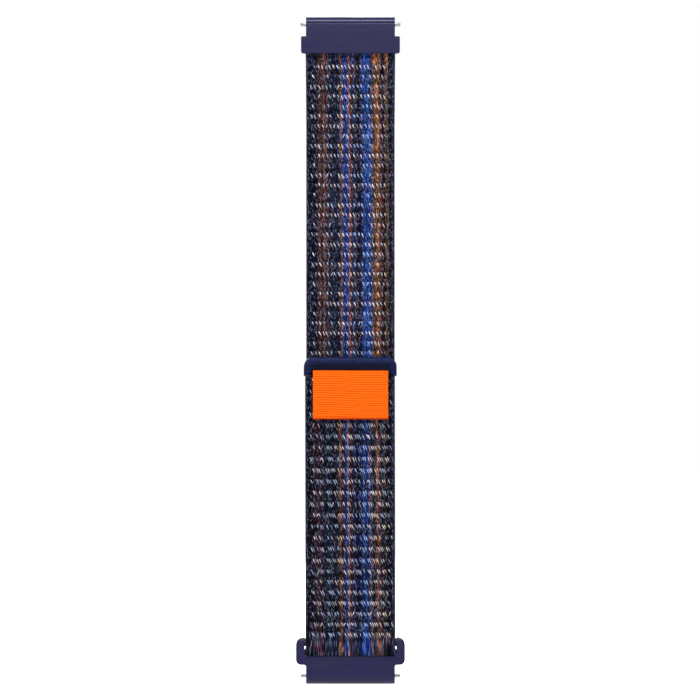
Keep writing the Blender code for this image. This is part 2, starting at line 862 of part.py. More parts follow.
def add_pivots(parts):
    """The joints' axes, from the upper spring bar down to the ring and up the free end."""
    pivots = Pivots(parts)
    pivots.add("upper_bar_axis", (0, 0, 0))
    pivots.add("upper_plunger_slide", (0, 0, 0), "upper_bar_axis")
    above = "upper_bar_axis"
    for number in range(1, lengths_of_band + 2):
        name = f"strap_curl_{number:02d}"
        height = -(mouth_drop + (number - 1) * length_of_band)
        pivots.add(name, (0, hinge_side, height), above)
        above = name
    pivots.add("ring_pivot", (0, 0, -ring_bar_drop), above)
    pivots.add("lower_plunger_slide", (0, 0, -lower_bar_drop), "ring_pivot")
    pivots.add("flap_peel", (0, -(fold_radius + band_half), peel_height), above)
    below = "flap_peel"
    for number, height in enumerate(flap_heights()[1:-1], 2):
        name = flap_pivot(number)
        pivots.add(name, (0, hinge_side, height), below)
        below = name
    pivots.add("pull_tab_lift", (0, tab_front, tab_top), below)
    return pivots


def main():
    clear_scene()
    parts = new_collection("watch_strap")
    cutters = new_collection("watch_strap_cutters", hidden=True)
    moulded = new_material("moulded_navy_nylon", (0.021, 0.020, 0.058), 0.42)
    cloth = new_material("woven_navy_cloth", (0.028, 0.040, 0.095), 0.9)
    satin = new_material("navy_binding", (0.010, 0.017, 0.060), 0.5)
    grosgrain = new_material("orange_ribbon", (0.93, 0.14, 0.006), 0.75)
    hooks = new_material("hook_tape_nylon", (0.012, 0.015, 0.040), 0.45)
    steel = new_material("polished_steel", (0.62, 0.62, 0.64), 0.25, 1.0)
    pivots = add_pivots(parts)
    line = Centreline()
    upper = SpringBar(
        "upper_bar", 0.0, parts, cutters, steel, pivots, "upper_bar_axis", "upper_plunger_slide"
    )
    lower = SpringBar(
        "lower_bar", -lower_bar_drop, parts, cutters, steel, pivots, "ring_pivot",
        "lower_plunger_slide",
    )
    make_upper_adapter(upper, pivots, parts, cutters, moulded)
    upper.make()
    make_band(line, pivots, parts, cutters, cloth)
    make_ring(lower, pivots, parts, cutters, moulded)
    lower.make()
    make_flap(line, pivots, parts, cutters, cloth)
    make_hook_tape(pivots, parts, hooks)
    make_trim(pivots, parts, cutters, satin)
    make_tab(pivots, parts, grosgrain)


main()
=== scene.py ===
"""Looks of a woven hook and loop watch strap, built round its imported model.

The strap hangs straight, seen square from the front: a moulded navy end piece with its spring bar, a
band woven in many colours on navy, its free end folded round the ring's bar and held up on the band,
a navy binding on that end with an orange ribbed pull tab under it, and the moulded ring.

All sizes here are millimetres and turn to metres where a mesh is made. +X runs across the strap, +Z up
along it, and the front looks towards -Y.
"""

import logging
import math
from collections.abc import Callable, Sequence
from dataclasses import dataclass
from enum import Enum
from functools import partial

import bmesh
import bpy
import numpy as np
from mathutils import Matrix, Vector


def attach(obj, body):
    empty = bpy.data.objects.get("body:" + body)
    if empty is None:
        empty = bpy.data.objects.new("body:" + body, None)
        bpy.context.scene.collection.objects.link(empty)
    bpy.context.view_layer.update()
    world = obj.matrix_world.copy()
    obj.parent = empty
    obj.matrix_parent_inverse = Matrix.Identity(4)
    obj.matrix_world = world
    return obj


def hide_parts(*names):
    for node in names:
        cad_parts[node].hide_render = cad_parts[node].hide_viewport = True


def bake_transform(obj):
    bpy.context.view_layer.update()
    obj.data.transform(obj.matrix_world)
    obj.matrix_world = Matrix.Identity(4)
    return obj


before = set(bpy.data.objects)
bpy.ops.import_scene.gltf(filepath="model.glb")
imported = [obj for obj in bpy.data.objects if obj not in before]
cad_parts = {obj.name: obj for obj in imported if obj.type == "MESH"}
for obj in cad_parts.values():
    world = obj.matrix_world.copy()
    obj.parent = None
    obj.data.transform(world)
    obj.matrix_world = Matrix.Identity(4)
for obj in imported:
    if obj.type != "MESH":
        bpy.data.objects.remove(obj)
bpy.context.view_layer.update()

MM = 0.001
LOG = logging.getLogger("strap")

Material = bpy.types.Material
Node = bpy.types.Node
Object = bpy.types.Object
Tree = bpy.types.NodeTree


def linear(*codes: str) -> np.ndarray:
    """Turn sRGB hex colours to linear values.

    c = s / 12.92 up to s = 0.04045, and ((s + 0.055) / 1.055) ** 2.4 above it.

    Args:
        codes: colours such as "#1b3fc0".
    Returns:
        One row of red, green and blue for each colour.
    """
    rows = [[int(code[i : i + 2], 16) for i in (1, 3, 5)] for code in codes]
    s = np.array(rows, float) / 255
    return np.where(s <= 0.04045, s / 12.92, ((s + 0.055) / 1.055) ** 2.4)


def colour(code: str) -> tuple[float, float, float, float]:
    """A hex colour as a socket takes it."""
    return (*linear(code)[0], 1.0)


def feed(node: Node, inputs: dict) -> None:
    """Fill a node's inputs.

    Args:
        node: the node.
        inputs: by name or number, a constant, the output that feeds it, or the node whose first
            output does.
    """
    for name, value in inputs.items():
        if isinstance(value, Node):
            value = value.outputs[0]
        if isinstance(value, bpy.types.NodeSocket):
            node.id_data.links.new(value, node.inputs[name])
        else:
            node.inputs[name].default_value = value


def add_node(tree: Tree, kind: str, *values, **settings) -> Node:
    """Add a shader node with its settings and links.

    Args:
        tree: the node tree.
        kind: the node's type or, in capitals, the operation of a Math node.
        values: what feeds the inputs, in order, or one table of it by name or number.
        settings: the node's own settings.
    Returns:
        The node.
    """
    if kind.isupper():
        kind, settings = "Math", {"operation": kind}
    node = tree.nodes.new(f"ShaderNode{kind}")
    for name, value in settings.items():
        setattr(node, name, value)
    by_name = len(values) == 1 and isinstance(values[0], dict)
    feed(node, values[0] if by_name else dict(enumerate(values)))
    return node


def new_surface(name: str, constants: dict) -> tuple[Material, Callable[..., Node], Node]:
    """Add a material with a Principled shader.

    Args:
        name: the material's name.
        constants: values for the shader's own sockets.
    Returns:
        The material, add_node for its tree, and the shader.
    """
    material = bpy.data.materials.new(name)
    material.use_nodes = True
    surface = material.node_tree.nodes["Principled BSDF"]
    feed(surface, constants)
    return material, partial(add_node, material.node_tree), surface


def ridges(add: Callable[..., Node], value: Node | bpy.types.NodeSocket, pitch: float = 1.0) -> Node:
    """Add |sin(pi v / p)|, a round ridge in each step of the value by the pitch."""
    return add("ABSOLUTE", add("SINE", add("MULTIPLY", value, math.pi / pitch)))


def seen_directly(tree: Tree) -> Node:
    """Add a share that is 1 for rays from the camera, a reflection or through glass, and else 0."""
    rays = add_node(tree, "LightPath").outputs
    straight = add_node(tree, "MAXIMUM", rays["Is Camera Ray"], rays["Is Glossy Ray"])
    return add_node(tree, "MAXIMUM", straight, rays["Is Transmission Ray"])


def mesh_object(
    name: str, points: np.ndarray, faces: np.ndarray, material: Material,
    caps: Sequence[np.ndarray] = (), yarn: np.ndarray | None = None, **layers: np.ndarray,
) -> Object:
    """Make an object from arrays.

    Args:
        name: the piece's name.
        points: points in millimetres, in an array of any shape.
        faces: one row of four point numbers per face, shaded smooth.
        material: its finish.
        caps: point numbers of flat faces, with as many corners as they need.
        yarn: linear colours, one for each point.
        layers: pattern coordinates, two values for each point.
    Returns:
        The object, at the origin.
    """
    points = points.reshape(-1, 3)
    mesh = bpy.data.meshes.new(name)
    corners = np.concatenate([faces.ravel(), *caps]).astype(np.int32)
    sizes = np.concatenate([np.full(len(faces), 4), [len(cap) for cap in caps]]).astype(np.int32)
    starts = np.concatenate([[0], np.cumsum(sizes)[:-1]]).astype(np.int32)
    mesh.vertices.add(len(points))
    mesh.vertices.foreach_set("co", (points * MM).astype(np.float32).ravel())
    mesh.loops.add(len(corners))
    mesh.loops.foreach_set("vertex_index", corners)
    mesh.polygons.add(len(sizes))
    mesh.polygons.foreach_set("loop_start", starts)
    mesh.polygons.foreach_set("loop_total", sizes)
    mesh.polygons.foreach_set("use_smooth", np.repeat([True, False], [len(faces), len(caps)]))
    mesh.update(calc_edges=True)
    for layer, values in layers.items():
        spots = values.reshape(-1, 2)[corners].astype(np.float32)
        mesh.uv_layers.new(name=layer).data.foreach_set("uv", spots.ravel())
    if yarn is not None:
        full = np.insert(yarn.reshape(-1, 3), 3, 1, axis=1).astype(np.float32)
        mesh.color_attributes.new("yarn", "FLOAT_COLOR", "POINT").data.foreach_set("color", full.ravel())
    mesh.validate()
    mesh.materials.append(material)
    obj = bpy.data.objects.new(name, mesh)
    bpy.context.scene.collection.objects.link(obj)
    LOG.info("%s: %d faces", name, len(sizes))
    return obj


def grid_faces(rows: int, around: int) -> np.ndarray:
    """Faces between rings of points.

    Args:
        rows: how many rings, numbered row * around + place.
        around: how many points in a ring, of which the last joins the first.
    Returns:
        One row of four point numbers per face.
    """
    i = np.arange(rows - 1)[:, None] * around
    j = np.arange(around)
    k = (j + 1) % around
    return np.stack([i + j, i + k, i + around + k, i + around + j], -1).reshape(-1, 4)


def repeated(faces: np.ndarray, count: int, size: int) -> np.ndarray:
    """The faces of one shape of `size` points, for `count` copies whose points follow each other."""
    return (faces + (np.arange(count) * size)[:, None, None]).reshape(-1, faces.shape[1])


def swept(
    name: str, section: np.ndarray, places: np.ndarray, material: Material, uv: np.ndarray,
    yarn: np.ndarray | None = None,
) -> Object:
    """A closed section carried across the strap.

    Args:
        name: the piece's name.
        section: points (y, z) for each place, as an array of places by points by two, running
            clockwise seen from +X.
        places: places across the strap, from left to right.
        material: its finish.
        uv: pattern coordinates, shaped as the section.
        yarn: linear colours, with three values where the section has two.
    Returns:
        The object, closed at both ends.
    """
    count, around = section.shape[:2]
    across = np.broadcast_to(places[:, None, None], (count, around, 1))
    ends = [np.arange(around), np.arange(around)[::-1] + (count - 1) * around]
    faces = grid_faces(count, around)[:, ::-1]
    return mesh_object(name, np.concatenate([across, section], -1), faces, material, ends, yarn, thread=uv)


def ease(share: np.ndarray) -> np.ndarray:
    """A smooth step, 3 s^2 - 2 s^3 with s held from 0 to 1."""
    share = np.clip(share, 0, 1)
    return share * share * (3 - 2 * share)


def spread(*keys: np.ndarray | float) -> np.ndarray:
    """An even value from 0 to 1 for each set of whole numbers, the same in every run.

    v = frac(43758.5453 sin(sum of key_i * c_i)).

    Args:
        keys: whole numbers that broadcast together.
    Returns:
        The values.
    """
    factors = (12.9898, 78.233, 37.719, 9.151)
    total = sum(np.asarray(key, float) * factor for key, factor in zip(keys, factors))
    value = np.sin(total) * 43758.5453
    return value - np.floor(value)


def corner_drop(way: np.ndarray, radius: float) -> np.ndarray:
    """How far a round corner falls back, R - (R^2 - d^2)^0.5, with d the way past where it starts."""
    return radius - np.sqrt(radius**2 - way**2)


# Finishes. Inputs 6 and 7 of a colour's Mix node are its two colours, and output 2 is their mix.


@dataclass(frozen=True)
class MouldedNylon:
    """Injection moulded nylon with a fine spark-eroded texture: a soft sheen, no mirror image.

    The real grain of 0.03 mm is too fine to show, so it is drawn four times as coarse.
    """

    name: str
    base: str
    roughness: float = 0.22
    specular: float = 0.19
    grain: float = 0.12
    flow: tuple[float, float, float] = (90.0, 300.0, 620.0)

    def make(self) -> Material:
        """Make the material.

        The texture is noise of one grain per `grain` mm on Object coordinates, which roughens the gloss
        and dents the surface. A slower noise, drawn out across the strap, gives the flow marks of the melt
        in tone and gloss.
        """
        material, add, surface = new_surface(self.name, {"Specular IOR Level": self.specular})
        place = add("TexCoord").outputs["Object"]
        grain = add("TexNoise", {
            "Vector": place, "Scale": 1 / (self.grain * MM), "Detail": 3.0, "Roughness": 0.6,
        })
        drawn = add("Mapping", {"Vector": place, "Scale": self.flow})
        flow = add("TexNoise", {"Vector": drawn, "Scale": 1.0, "Detail": 3.0, "Distortion": 0.4})
        tone = add("MapRange", {
            "Value": flow, "From Min": 0.3, "From Max": 0.7, "To Min": 0.86, "To Max": 1.16,
        })
        gloss = add("MapRange", {
            "Value": grain, "From Min": 0.3, "From Max": 0.7,
            "To Min": self.roughness - 0.03, "To Max": self.roughness + 0.05,
        })
        base = add("VectorMath", {0: colour(self.base)[:3], "Scale": tone}, operation="SCALE")
        dents = add("Bump", {"Height": grain, "Strength": 0.25, "Distance": 0.02 * MM})
        swirl = add("MULTIPLY_ADD", tone, -0.3, 0.3)
        feed(surface, {"Base Color": base, "Roughness": add("ADD", gloss, swirl), "Normal": dents})
        return material


@dataclass(frozen=True)
class TurnedSteel:
    """Stainless steel, turned and tumbled: bright, with faint rings round its axis.

    Real turning marks of 0.1 mm are too fine to show, so they are drawn five times as coarse.
    """

    name: str
    base: str
    ring: float = 0.08

    def make(self) -> Material:
        """Make the material, with rings 2 pi `ring` mm apart along X in the gloss and the height."""
        material, add, surface = new_surface(self.name, {"Base Color": colour(self.base), "Metallic": 1.0})
        rings = add("TexWave", {
            "Vector": add("TexCoord").outputs["Object"], "Scale": 1 / (self.ring * MM * 20),
            "Distortion": 0.6, "Detail": 1.0,
        }, wave_type="BANDS", bands_direction="X").outputs["Fac"]
        gloss = add("MapRange", {"Value": rings, "To Min": 0.3, "To Max": 0.42})
        cut = add("Bump", {"Height": rings, "Strength": 0.15, "Distance": 0.004 * MM})
        feed(surface, {"Roughness": gloss, "Normal": cut})
        return material


@dataclass(frozen=True)
class YarnCloth:
    """Bulked polyester yarn, woven: matt, each strand a bundle of fine slanted filaments.

    The yarn's colour is in the mesh. The filaments are patterned on the weave's own numbers. Real ones
    are 0.02 mm thick, too fine to show, so two stand for a strand's whole bundle.
    """

    name: str
    roughness: float = 0.7
    specular: float = 0.03
    strokes_per_row: float = 5.0
    lean: float = 1.0
    speck: str = "#b4b8d4"
    weft: str = "#5a6284"

    def make(self) -> Material:
        """Make the material.

        With s the strand number, r the row and f = frac(r): the strand's crest is |sin(pi (s - f))|. Two
        filaments to a strand lean twice as far, g = 2 (s - lean f), with crests |sin(pi g)|, in strokes
        floor(n f + g / 2) that bulge as |sin(pi (n f + g / 2))|. These crests and bulges dent the surface
        and also scale the tone, which is painted shade between strands, filaments and strokes. Each stroke
        has its own random tone and tint, and the brightest quarter of them shows a pale filament. A thin
        weft shows at each row line.
        """
        material, add, surface = new_surface(self.name, {
            "Roughness": self.roughness, "Specular IOR Level": self.specular,
        })
        s, r = add("SeparateXYZ", add("UVMap", uv_map="weave")).outputs[:2]
        f = add("FRACT", r)
        strand = ridges(add, add("SUBTRACT", s, f))
        fine = add("MULTIPLY", add("SUBTRACT", s, add("MULTIPLY", f, self.lean)), 2.0)
        along = add("ADD", add("MULTIPLY", f, self.strokes_per_row), add("MULTIPLY", fine, 0.5))
        relief = add("MULTIPLY_ADD", strand, 0.8, 0.2)
        relief = add("MULTIPLY", relief, add("MULTIPLY_ADD", ridges(add, fine), 0.55, 0.45))
        relief = add("MULTIPLY", relief, add("MULTIPLY_ADD", ridges(add, along), 0.5, 0.5))
        cell = add("CombineXYZ", add("FLOOR", fine), add("FLOOR", along), add("FLOOR", r))
        chance = add("TexWhiteNoise", {"Vector": cell}, noise_dimensions="3D").outputs["Color"]
        parts = add("SeparateColor", chance).outputs
        tone = add("MULTIPLY_ADD", add("POWER", parts["Red"], 2.0), 1.8, 0.26)
        tint = add("VectorMath", chance, (0.5, 0.5, 0.5), (0.75, 0.75, 0.75), operation="MULTIPLY_ADD")
        yarn = add("Attribute", attribute_name="yarn").outputs["Color"]
        tinted = add("VectorMath", yarn, tint, operation="MULTIPLY")
        # The tone times the strands' relief darkens the grooves between strands, filaments and strokes:
        # painted shade.
        toned = add("VectorMath", {0: tinted, "Scale": add("MULTIPLY", tone, relief)}, operation="SCALE")
        rare = add("MapRange", {
            "Value": parts["Blue"], "From Min": 0.74, "From Max": 1.0, "To Min": 0.0, "To Max": 0.38,
        })
        flecked = add("Mix", {
            0: add("MULTIPLY", rare, relief), 6: toned, 7: colour(self.speck),
        }, data_type="RGBA")
        line = add("MapRange", {
            "Value": add("ABSOLUTE", add("SUBTRACT", f, 0.03)), "From Min": 0.0, "From Max": 0.05,
            "To Min": 0.22, "To Max": 0.0,
        })
        mixed = add("Mix", {
            0: add("MULTIPLY", line, strand), 6: flecked.outputs[2], 7: colour(self.weft),
        }, data_type="RGBA")
        raised = add("Bump", {"Height": relief, "Strength": 0.8, "Distance": 0.08 * MM})
        feed(surface, {"Base Color": mixed.outputs[2], "Normal": raised})
        return material


@dataclass(frozen=True)
class FloatYarn:
    """Slub tips of bulked polyester: loose filaments, pale, with streaks along the yarn."""

    name: str
    roughness: float = 0.5
    gloss: float = 0.3
    sheen: float = 0.05
    streak: float = 0.09
    contrast: float = 0.33

    def make(self) -> Material:
        """Make the material: noise stretched along the yarn, `streak` mm wide, over the yarn's colour."""
        material, add, surface = new_surface(self.name, {
            "Roughness": self.roughness, "Specular IOR Level": self.gloss, "Sheen Weight": self.sheen,
            "Sheen Roughness": 0.4,
        })
        drawn = add("Mapping", {
            "Vector": add("UVMap", uv_map="thread"), "Scale": (1 / self.streak, 0.2 / self.streak, 1.0),
        })
        streaks = add("TexNoise", {"Vector": drawn, "Scale": 1.0, "Detail": 2.0, "Roughness": 0.6})
        tone = add("MapRange", {
            "Value": streaks, "From Min": 0.32, "From Max": 0.68,
            "To Min": 0.93 - self.contrast, "To Max": 0.93 + self.contrast,
        })
        yarn = add("Attribute", attribute_name="yarn").outputs["Color"]
        toned = add("VectorMath", {0: yarn, "Scale": tone}, operation="SCALE")
        raised = add("Bump", {"Height": streaks, "Strength": 0.5, "Distance": 0.04 * MM})
        feed(surface, {"Base Color": toned, "Normal": raised})
        return material


@dataclass(frozen=True)
class HookNylon:
    """Extruded nylon hook tape: near black, a low gloss, faint lines from the die."""

    name: str
    base: str
    light: str
    line: float = 0.3
    roughness: float = 0.38

    def make(self) -> Material:
        """Make the material: die lines pi `line` mm apart and noise half as fine, between two tones."""
        material, add, surface = new_surface(self.name, {
            "Roughness": self.roughness, "Specular IOR Level": 0.25, "Sheen Weight": 0.02,
            "Sheen Roughness": 0.45,
        })
        thread = add("UVMap", uv_map="thread")
        lines = add("TexWave", {
            "Vector": thread, "Scale": 0.1 / self.line, "Distortion": 1.2, "Detail": 2.0,
            "Detail Scale": 3.0,
        }, wave_type="BANDS", bands_direction="Y").outputs["Fac"]
        grain = add("TexNoise", {
            "Vector": thread, "Scale": 1 / (self.line * 1.5), "Detail": 2.0, "Roughness": 0.7,
        })
        height = add("MULTIPLY", lines, grain)
        tone = add("MapRange", {"Value": height, "From Min": 0.05, "From Max": 0.6})
        mixed = add("Mix", {0: tone, 6: colour(self.base), 7: colour(self.light)}, data_type="RGBA")
        raised = add("Bump", {"Height": height, "Strength": 0.4, "Distance": 0.05 * MM})
        feed(surface, {"Base Color": mixed.outputs[2], "Normal": raised})
        return material


@dataclass(frozen=True)
class Grosgrain:
    """Ribbed polyester ribbon: rounded weft ribs with fine warp threads over them, a clear satin light."""

    name: str
    # groove is the colour of the painted shade in each groove, crest that of the painted highlight on each
    # rib, over the ribbon's orange.
    groove: str
    crest: str
    warp: float = 0.16
    roughness: float = 0.5

    def make(self) -> Material:
        """Make the material.

        The tone goes from groove to crest with |cos(pi v)|, where v is the rib number that the mesh
        carries: painted shade in each groove and a painted highlight on each rib. Warp threads `warp` mm
        apart give a slight grain, each a little lighter on its crest, also painted light.
        """
        material, add, surface = new_surface(self.name, {
            "Roughness": self.roughness, "Specular IOR Level": 0.06,
        })
        thread = add("UVMap", uv_map="thread")
        x, v = add("SeparateXYZ", thread).outputs[:2]
        rib = add("ABSOLUTE", add("COSINE", add("MULTIPLY", v, math.pi)))
        warp = ridges(add, x, self.warp)
        grain = add("TexNoise", {"Vector": thread, "Scale": 3.0, "Detail": 3.0})
        tone = add("ADD", add("MULTIPLY", rib, 0.75), add("MULTIPLY", warp, 0.1))
        tone = add("ADD", tone, add("MULTIPLY", grain, 0.2))
        # From the groove's painted shade to the crest's painted highlight.
        mixed = add("Mix", {0: tone, 6: colour(self.groove), 7: colour(self.crest)}, data_type="RGBA")
        height = add("ADD", rib, add("MULTIPLY", warp, 0.2))
        raised = add("Bump", {"Height": height, "Strength": 0.5, "Distance": 0.05 * MM})
        feed(surface, {"Base Color": mixed.outputs[2], "Normal": raised})
        return material


@dataclass(frozen=True)
class StudioPaper:
    """White paper: full white where the camera or a reflection sees it, and matt for shadows."""

    name: str
    base: str
    lift: float = 0.86

    def make(self) -> Material:
        """Make the material: matt paper, lifted by a share of light that only such rays see."""
        material = bpy.data.materials.new(self.name)
        material.use_nodes = True
        tree = material.node_tree
        tree.nodes.clear()
        matt = add_node(tree, "BsdfDiffuse", {"Color": colour(self.base)})
        white = add_node(tree, "Emission", {"Color": (1.0, 1.0, 1.0, 1.0), "Strength": self.lift})
        both = add_node(tree, "AddShader", matt, white)
        add_node(tree, "OutputMaterial", add_node(tree, "MixShader", seen_directly(tree), matt, both))
        return material


# The weave


class Face(Enum):
    """The two faces of the band's cloth, each with its own order of floats."""

    OUTER = "outer"
    INNER = "inner"


# Yarn colours: ground yarns in small letters, and the pale slub tips in capitals.
YARNS = {
    "k": "#0d0e1c", "n": "#141c42", "m": "#402632", "t": "#143044", "g": "#2c324e", "u": "#383256",
    "b": "#23469c", "B": "#3a68b4", "r": "#844a38", "o": "#a87050", "s": "#a47a82", "e": "#645044",
    "y": "#64503a", "W": "#ffffff", "P": "#fbe2de", "A": "#fcd4b0", "L": "#b8d8fc", "V": "#c8c2f4",
    "C": "#ece6d0", "G": "#b8bcc8", "D": "#787e94",
}


@dataclass(frozen=True)
class WeaveOrder:
    """The warp order of one face: for each row of the repeat, the ground yarns and the tips.

    A ground row has a letter for each strand, and a row of tips one for each strand or column, with a
    dot where there is none. The opening row stands for the first rows, under the end piece. The gather
    says by how many rows the rows crowd towards the fold, evenly and at its end.
    """

    ground: tuple[str, ...]
    tips: tuple[str, ...]
    shifts: tuple[float, ...]
    pitch: float
    first_row: float
    tip_length: float
    tip_width: float
    tips_from: int = -1000
    tips_above: float = -1000.0
    opening: str = ""
    gather: tuple[float, float] = (0.0, 0.0)
    # The tone at each row line, a painted highlight, and how much painted shade takes from it by the next
    # row line.
    row_line_highlight: float = 1.1
    row_line_shade_fall: float = 0.35


ORDERS = {
    Face.OUTER: WeaveOrder(
        ground=(
            "kknkmmmrnegttmnurbbbsmuynkmbbbBbuyeorkkeyknk",
            "knkkmemekunnttnnybbbrrgunknbBBBbuyyormkmykkn",
            "nkknemmrymnmnnnyobbbsubgtnubbbBbsyoormkeyknk",
        ),
        opening="nnkkmmkournttnnmrkbboubukkknbbbukorooukronkn",
        tips=(".DPPGGPLPVPWDCVPWPLA..", "W..DG..DLPGD.LLVCPGD..", "GGWDLL.CWVVLLL.L.ADD.."),
        shifts=(0.0, 0.5, 0.1), pitch=2.42, first_row=-17.18, tip_length=1.12, tip_width=0.26, tips_from=-3,
    ),
    Face.INNER: WeaveOrder(
        ground=(
            "knmmmmkkggnnkkkeombbsmuunnkbbbbbsttorttnkknn",
            "knkkguumkttgnntkmmtbsmumnknnbnuBtntsummekkkn",
            "knmmmmkktttnnmkeombbsuubnnbbBbbrettrontnkknn",
            "kktmgmunknttnnukemubsmuunknnbBbutnysrmnekkkn",
        ),
        tips=(
            "..PDPP.D.GGDGG.AAPL.VAV.L.DLL.LLWPCA.GLG.D..",
            ".L..G.VD.LGD.LL..DW.APW.GGL.L.PW.D.PP.WA.C..",
            "..PG.PD..LGG.PG.AP.LVWVG..D.LL.LPWC.A.GLD.G.",
            ".LG.D.VP..GLL..LD.W.AP.WG.G.LL.PWD..PPG.WA..",
        ),
        shifts=(0.0, 0.0, 0.3, -0.2), pitch=2.753, first_row=-97.75, tip_length=1.2, tip_width=0.19,
        tips_above=-151.0, row_line_highlight=1.05, row_line_shade_fall=0.6, gather=(0.32, 0.45),
    ),
}


@dataclass
class StrapPath:
    """The band's centreline, from the pocket down, round the ring's bar and up the free end."""

    pocket_end: float = -3.9
    first_hinge: float = -7.12
    hinge_step: float = 12.1
    hinges: int = 12
    sway_start: float = 0.8
    sway_length: float = 6.2
    fold_height: float = -152.4
    fold_radius: float = 2.0
    flap_stand_off: float = 2.9
    step_start: float = 1.7
    step_length: float = 9.0
    tip_height: float = -82.2
    step: float = 0.05

    def __post_init__(self) -> None:
        """Work out the line as arrays of y, z and distance along it."""
        last = self.hinge_height(self.hinges)
        down = np.arange(self.pocket_end, self.fold_height, -self.step)
        sway = self.fold_radius * ease((last - self.sway_start - down) / self.sway_length)
        turn = np.linspace(0, math.pi, round(math.pi * self.fold_radius / self.step))
        up = np.arange(self.fold_height, self.tip_height, self.step)[1:]
        rise = self.fold_radius + (self.flap_stand_off - self.fold_radius) * ease(
            (up - last - self.step_start) / self.step_length
        )
        self.y = np.concatenate([sway, self.fold_radius * np.cos(turn), -rise])
        self.z = np.concatenate([down, self.fold_height - self.fold_radius * np.sin(turn), up])
        self.run = np.concatenate([[0], np.cumsum(np.hypot(np.diff(self.y), np.diff(self.z)))])
        self.lowest = int(np.argmin(self.z))

    def hinge_height(self, number: int) -> float:
        """The height of a hinge, counted from the top."""
        return self.first_hinge - (number - 1) * self.hinge_step

    def half_way(self, number: int) -> float:
        """The height half way down the length under a hinge."""
        return self.hinge_height(number) - self.hinge_step / 2

    def down_to(self, height: float) -> float:
        """The distance at which the hanging part is at a height."""
        return float(np.interp(-height, -self.z[: self.lowest], self.run[: self.lowest]))

    def up_to(self, height: float) -> float:
        """The distance at which the free end is at a height."""
        return float(np.interp(height, self.z[self.lowest :], self.run[self.lowest :]))

    def at(self, run: np.ndarray) -> tuple[np.ndarray, np.ndarray]:
        """Places and normals along the line.

        Args:
            run: distances along the line, of any shape.
        Returns:
            Points and unit normals, with three values more than run. A normal points to the front of
            the hanging part, and so to the band from the free end.
        """
        y, z = (np.interp(run, self.run, line) for line in (self.y, self.z))
        e = self.step * 2
        dy, dz = (
            np.interp(run + e, self.run, line) - np.interp(run - e, self.run, line)
            for line in (self.y, self.z)
        )
        size = np.hypot(dy, dz)
        zero = np.zeros_like(y)
        return np.stack([zero, y, z], -1), np.stack([zero, dz / size, -dy / size], -1)


@dataclass(frozen=True)
class Stretch:
    """A length of the band: where it starts and ends along it, and its widths and middles there."""

    name: str
    start: float
    end: float
    width: tuple[float, float]
    centre: tuple[float, float] = (0.0, 0.0)

    def along(self, run: np.ndarray, ends: tuple[float, float]) -> np.ndarray:
        """A size that goes evenly from one end's value to the other's, at distances along the band."""
        return ends[0] + (ends[1] - ends[0]) * (run - self.start) / (self.end - self.start)


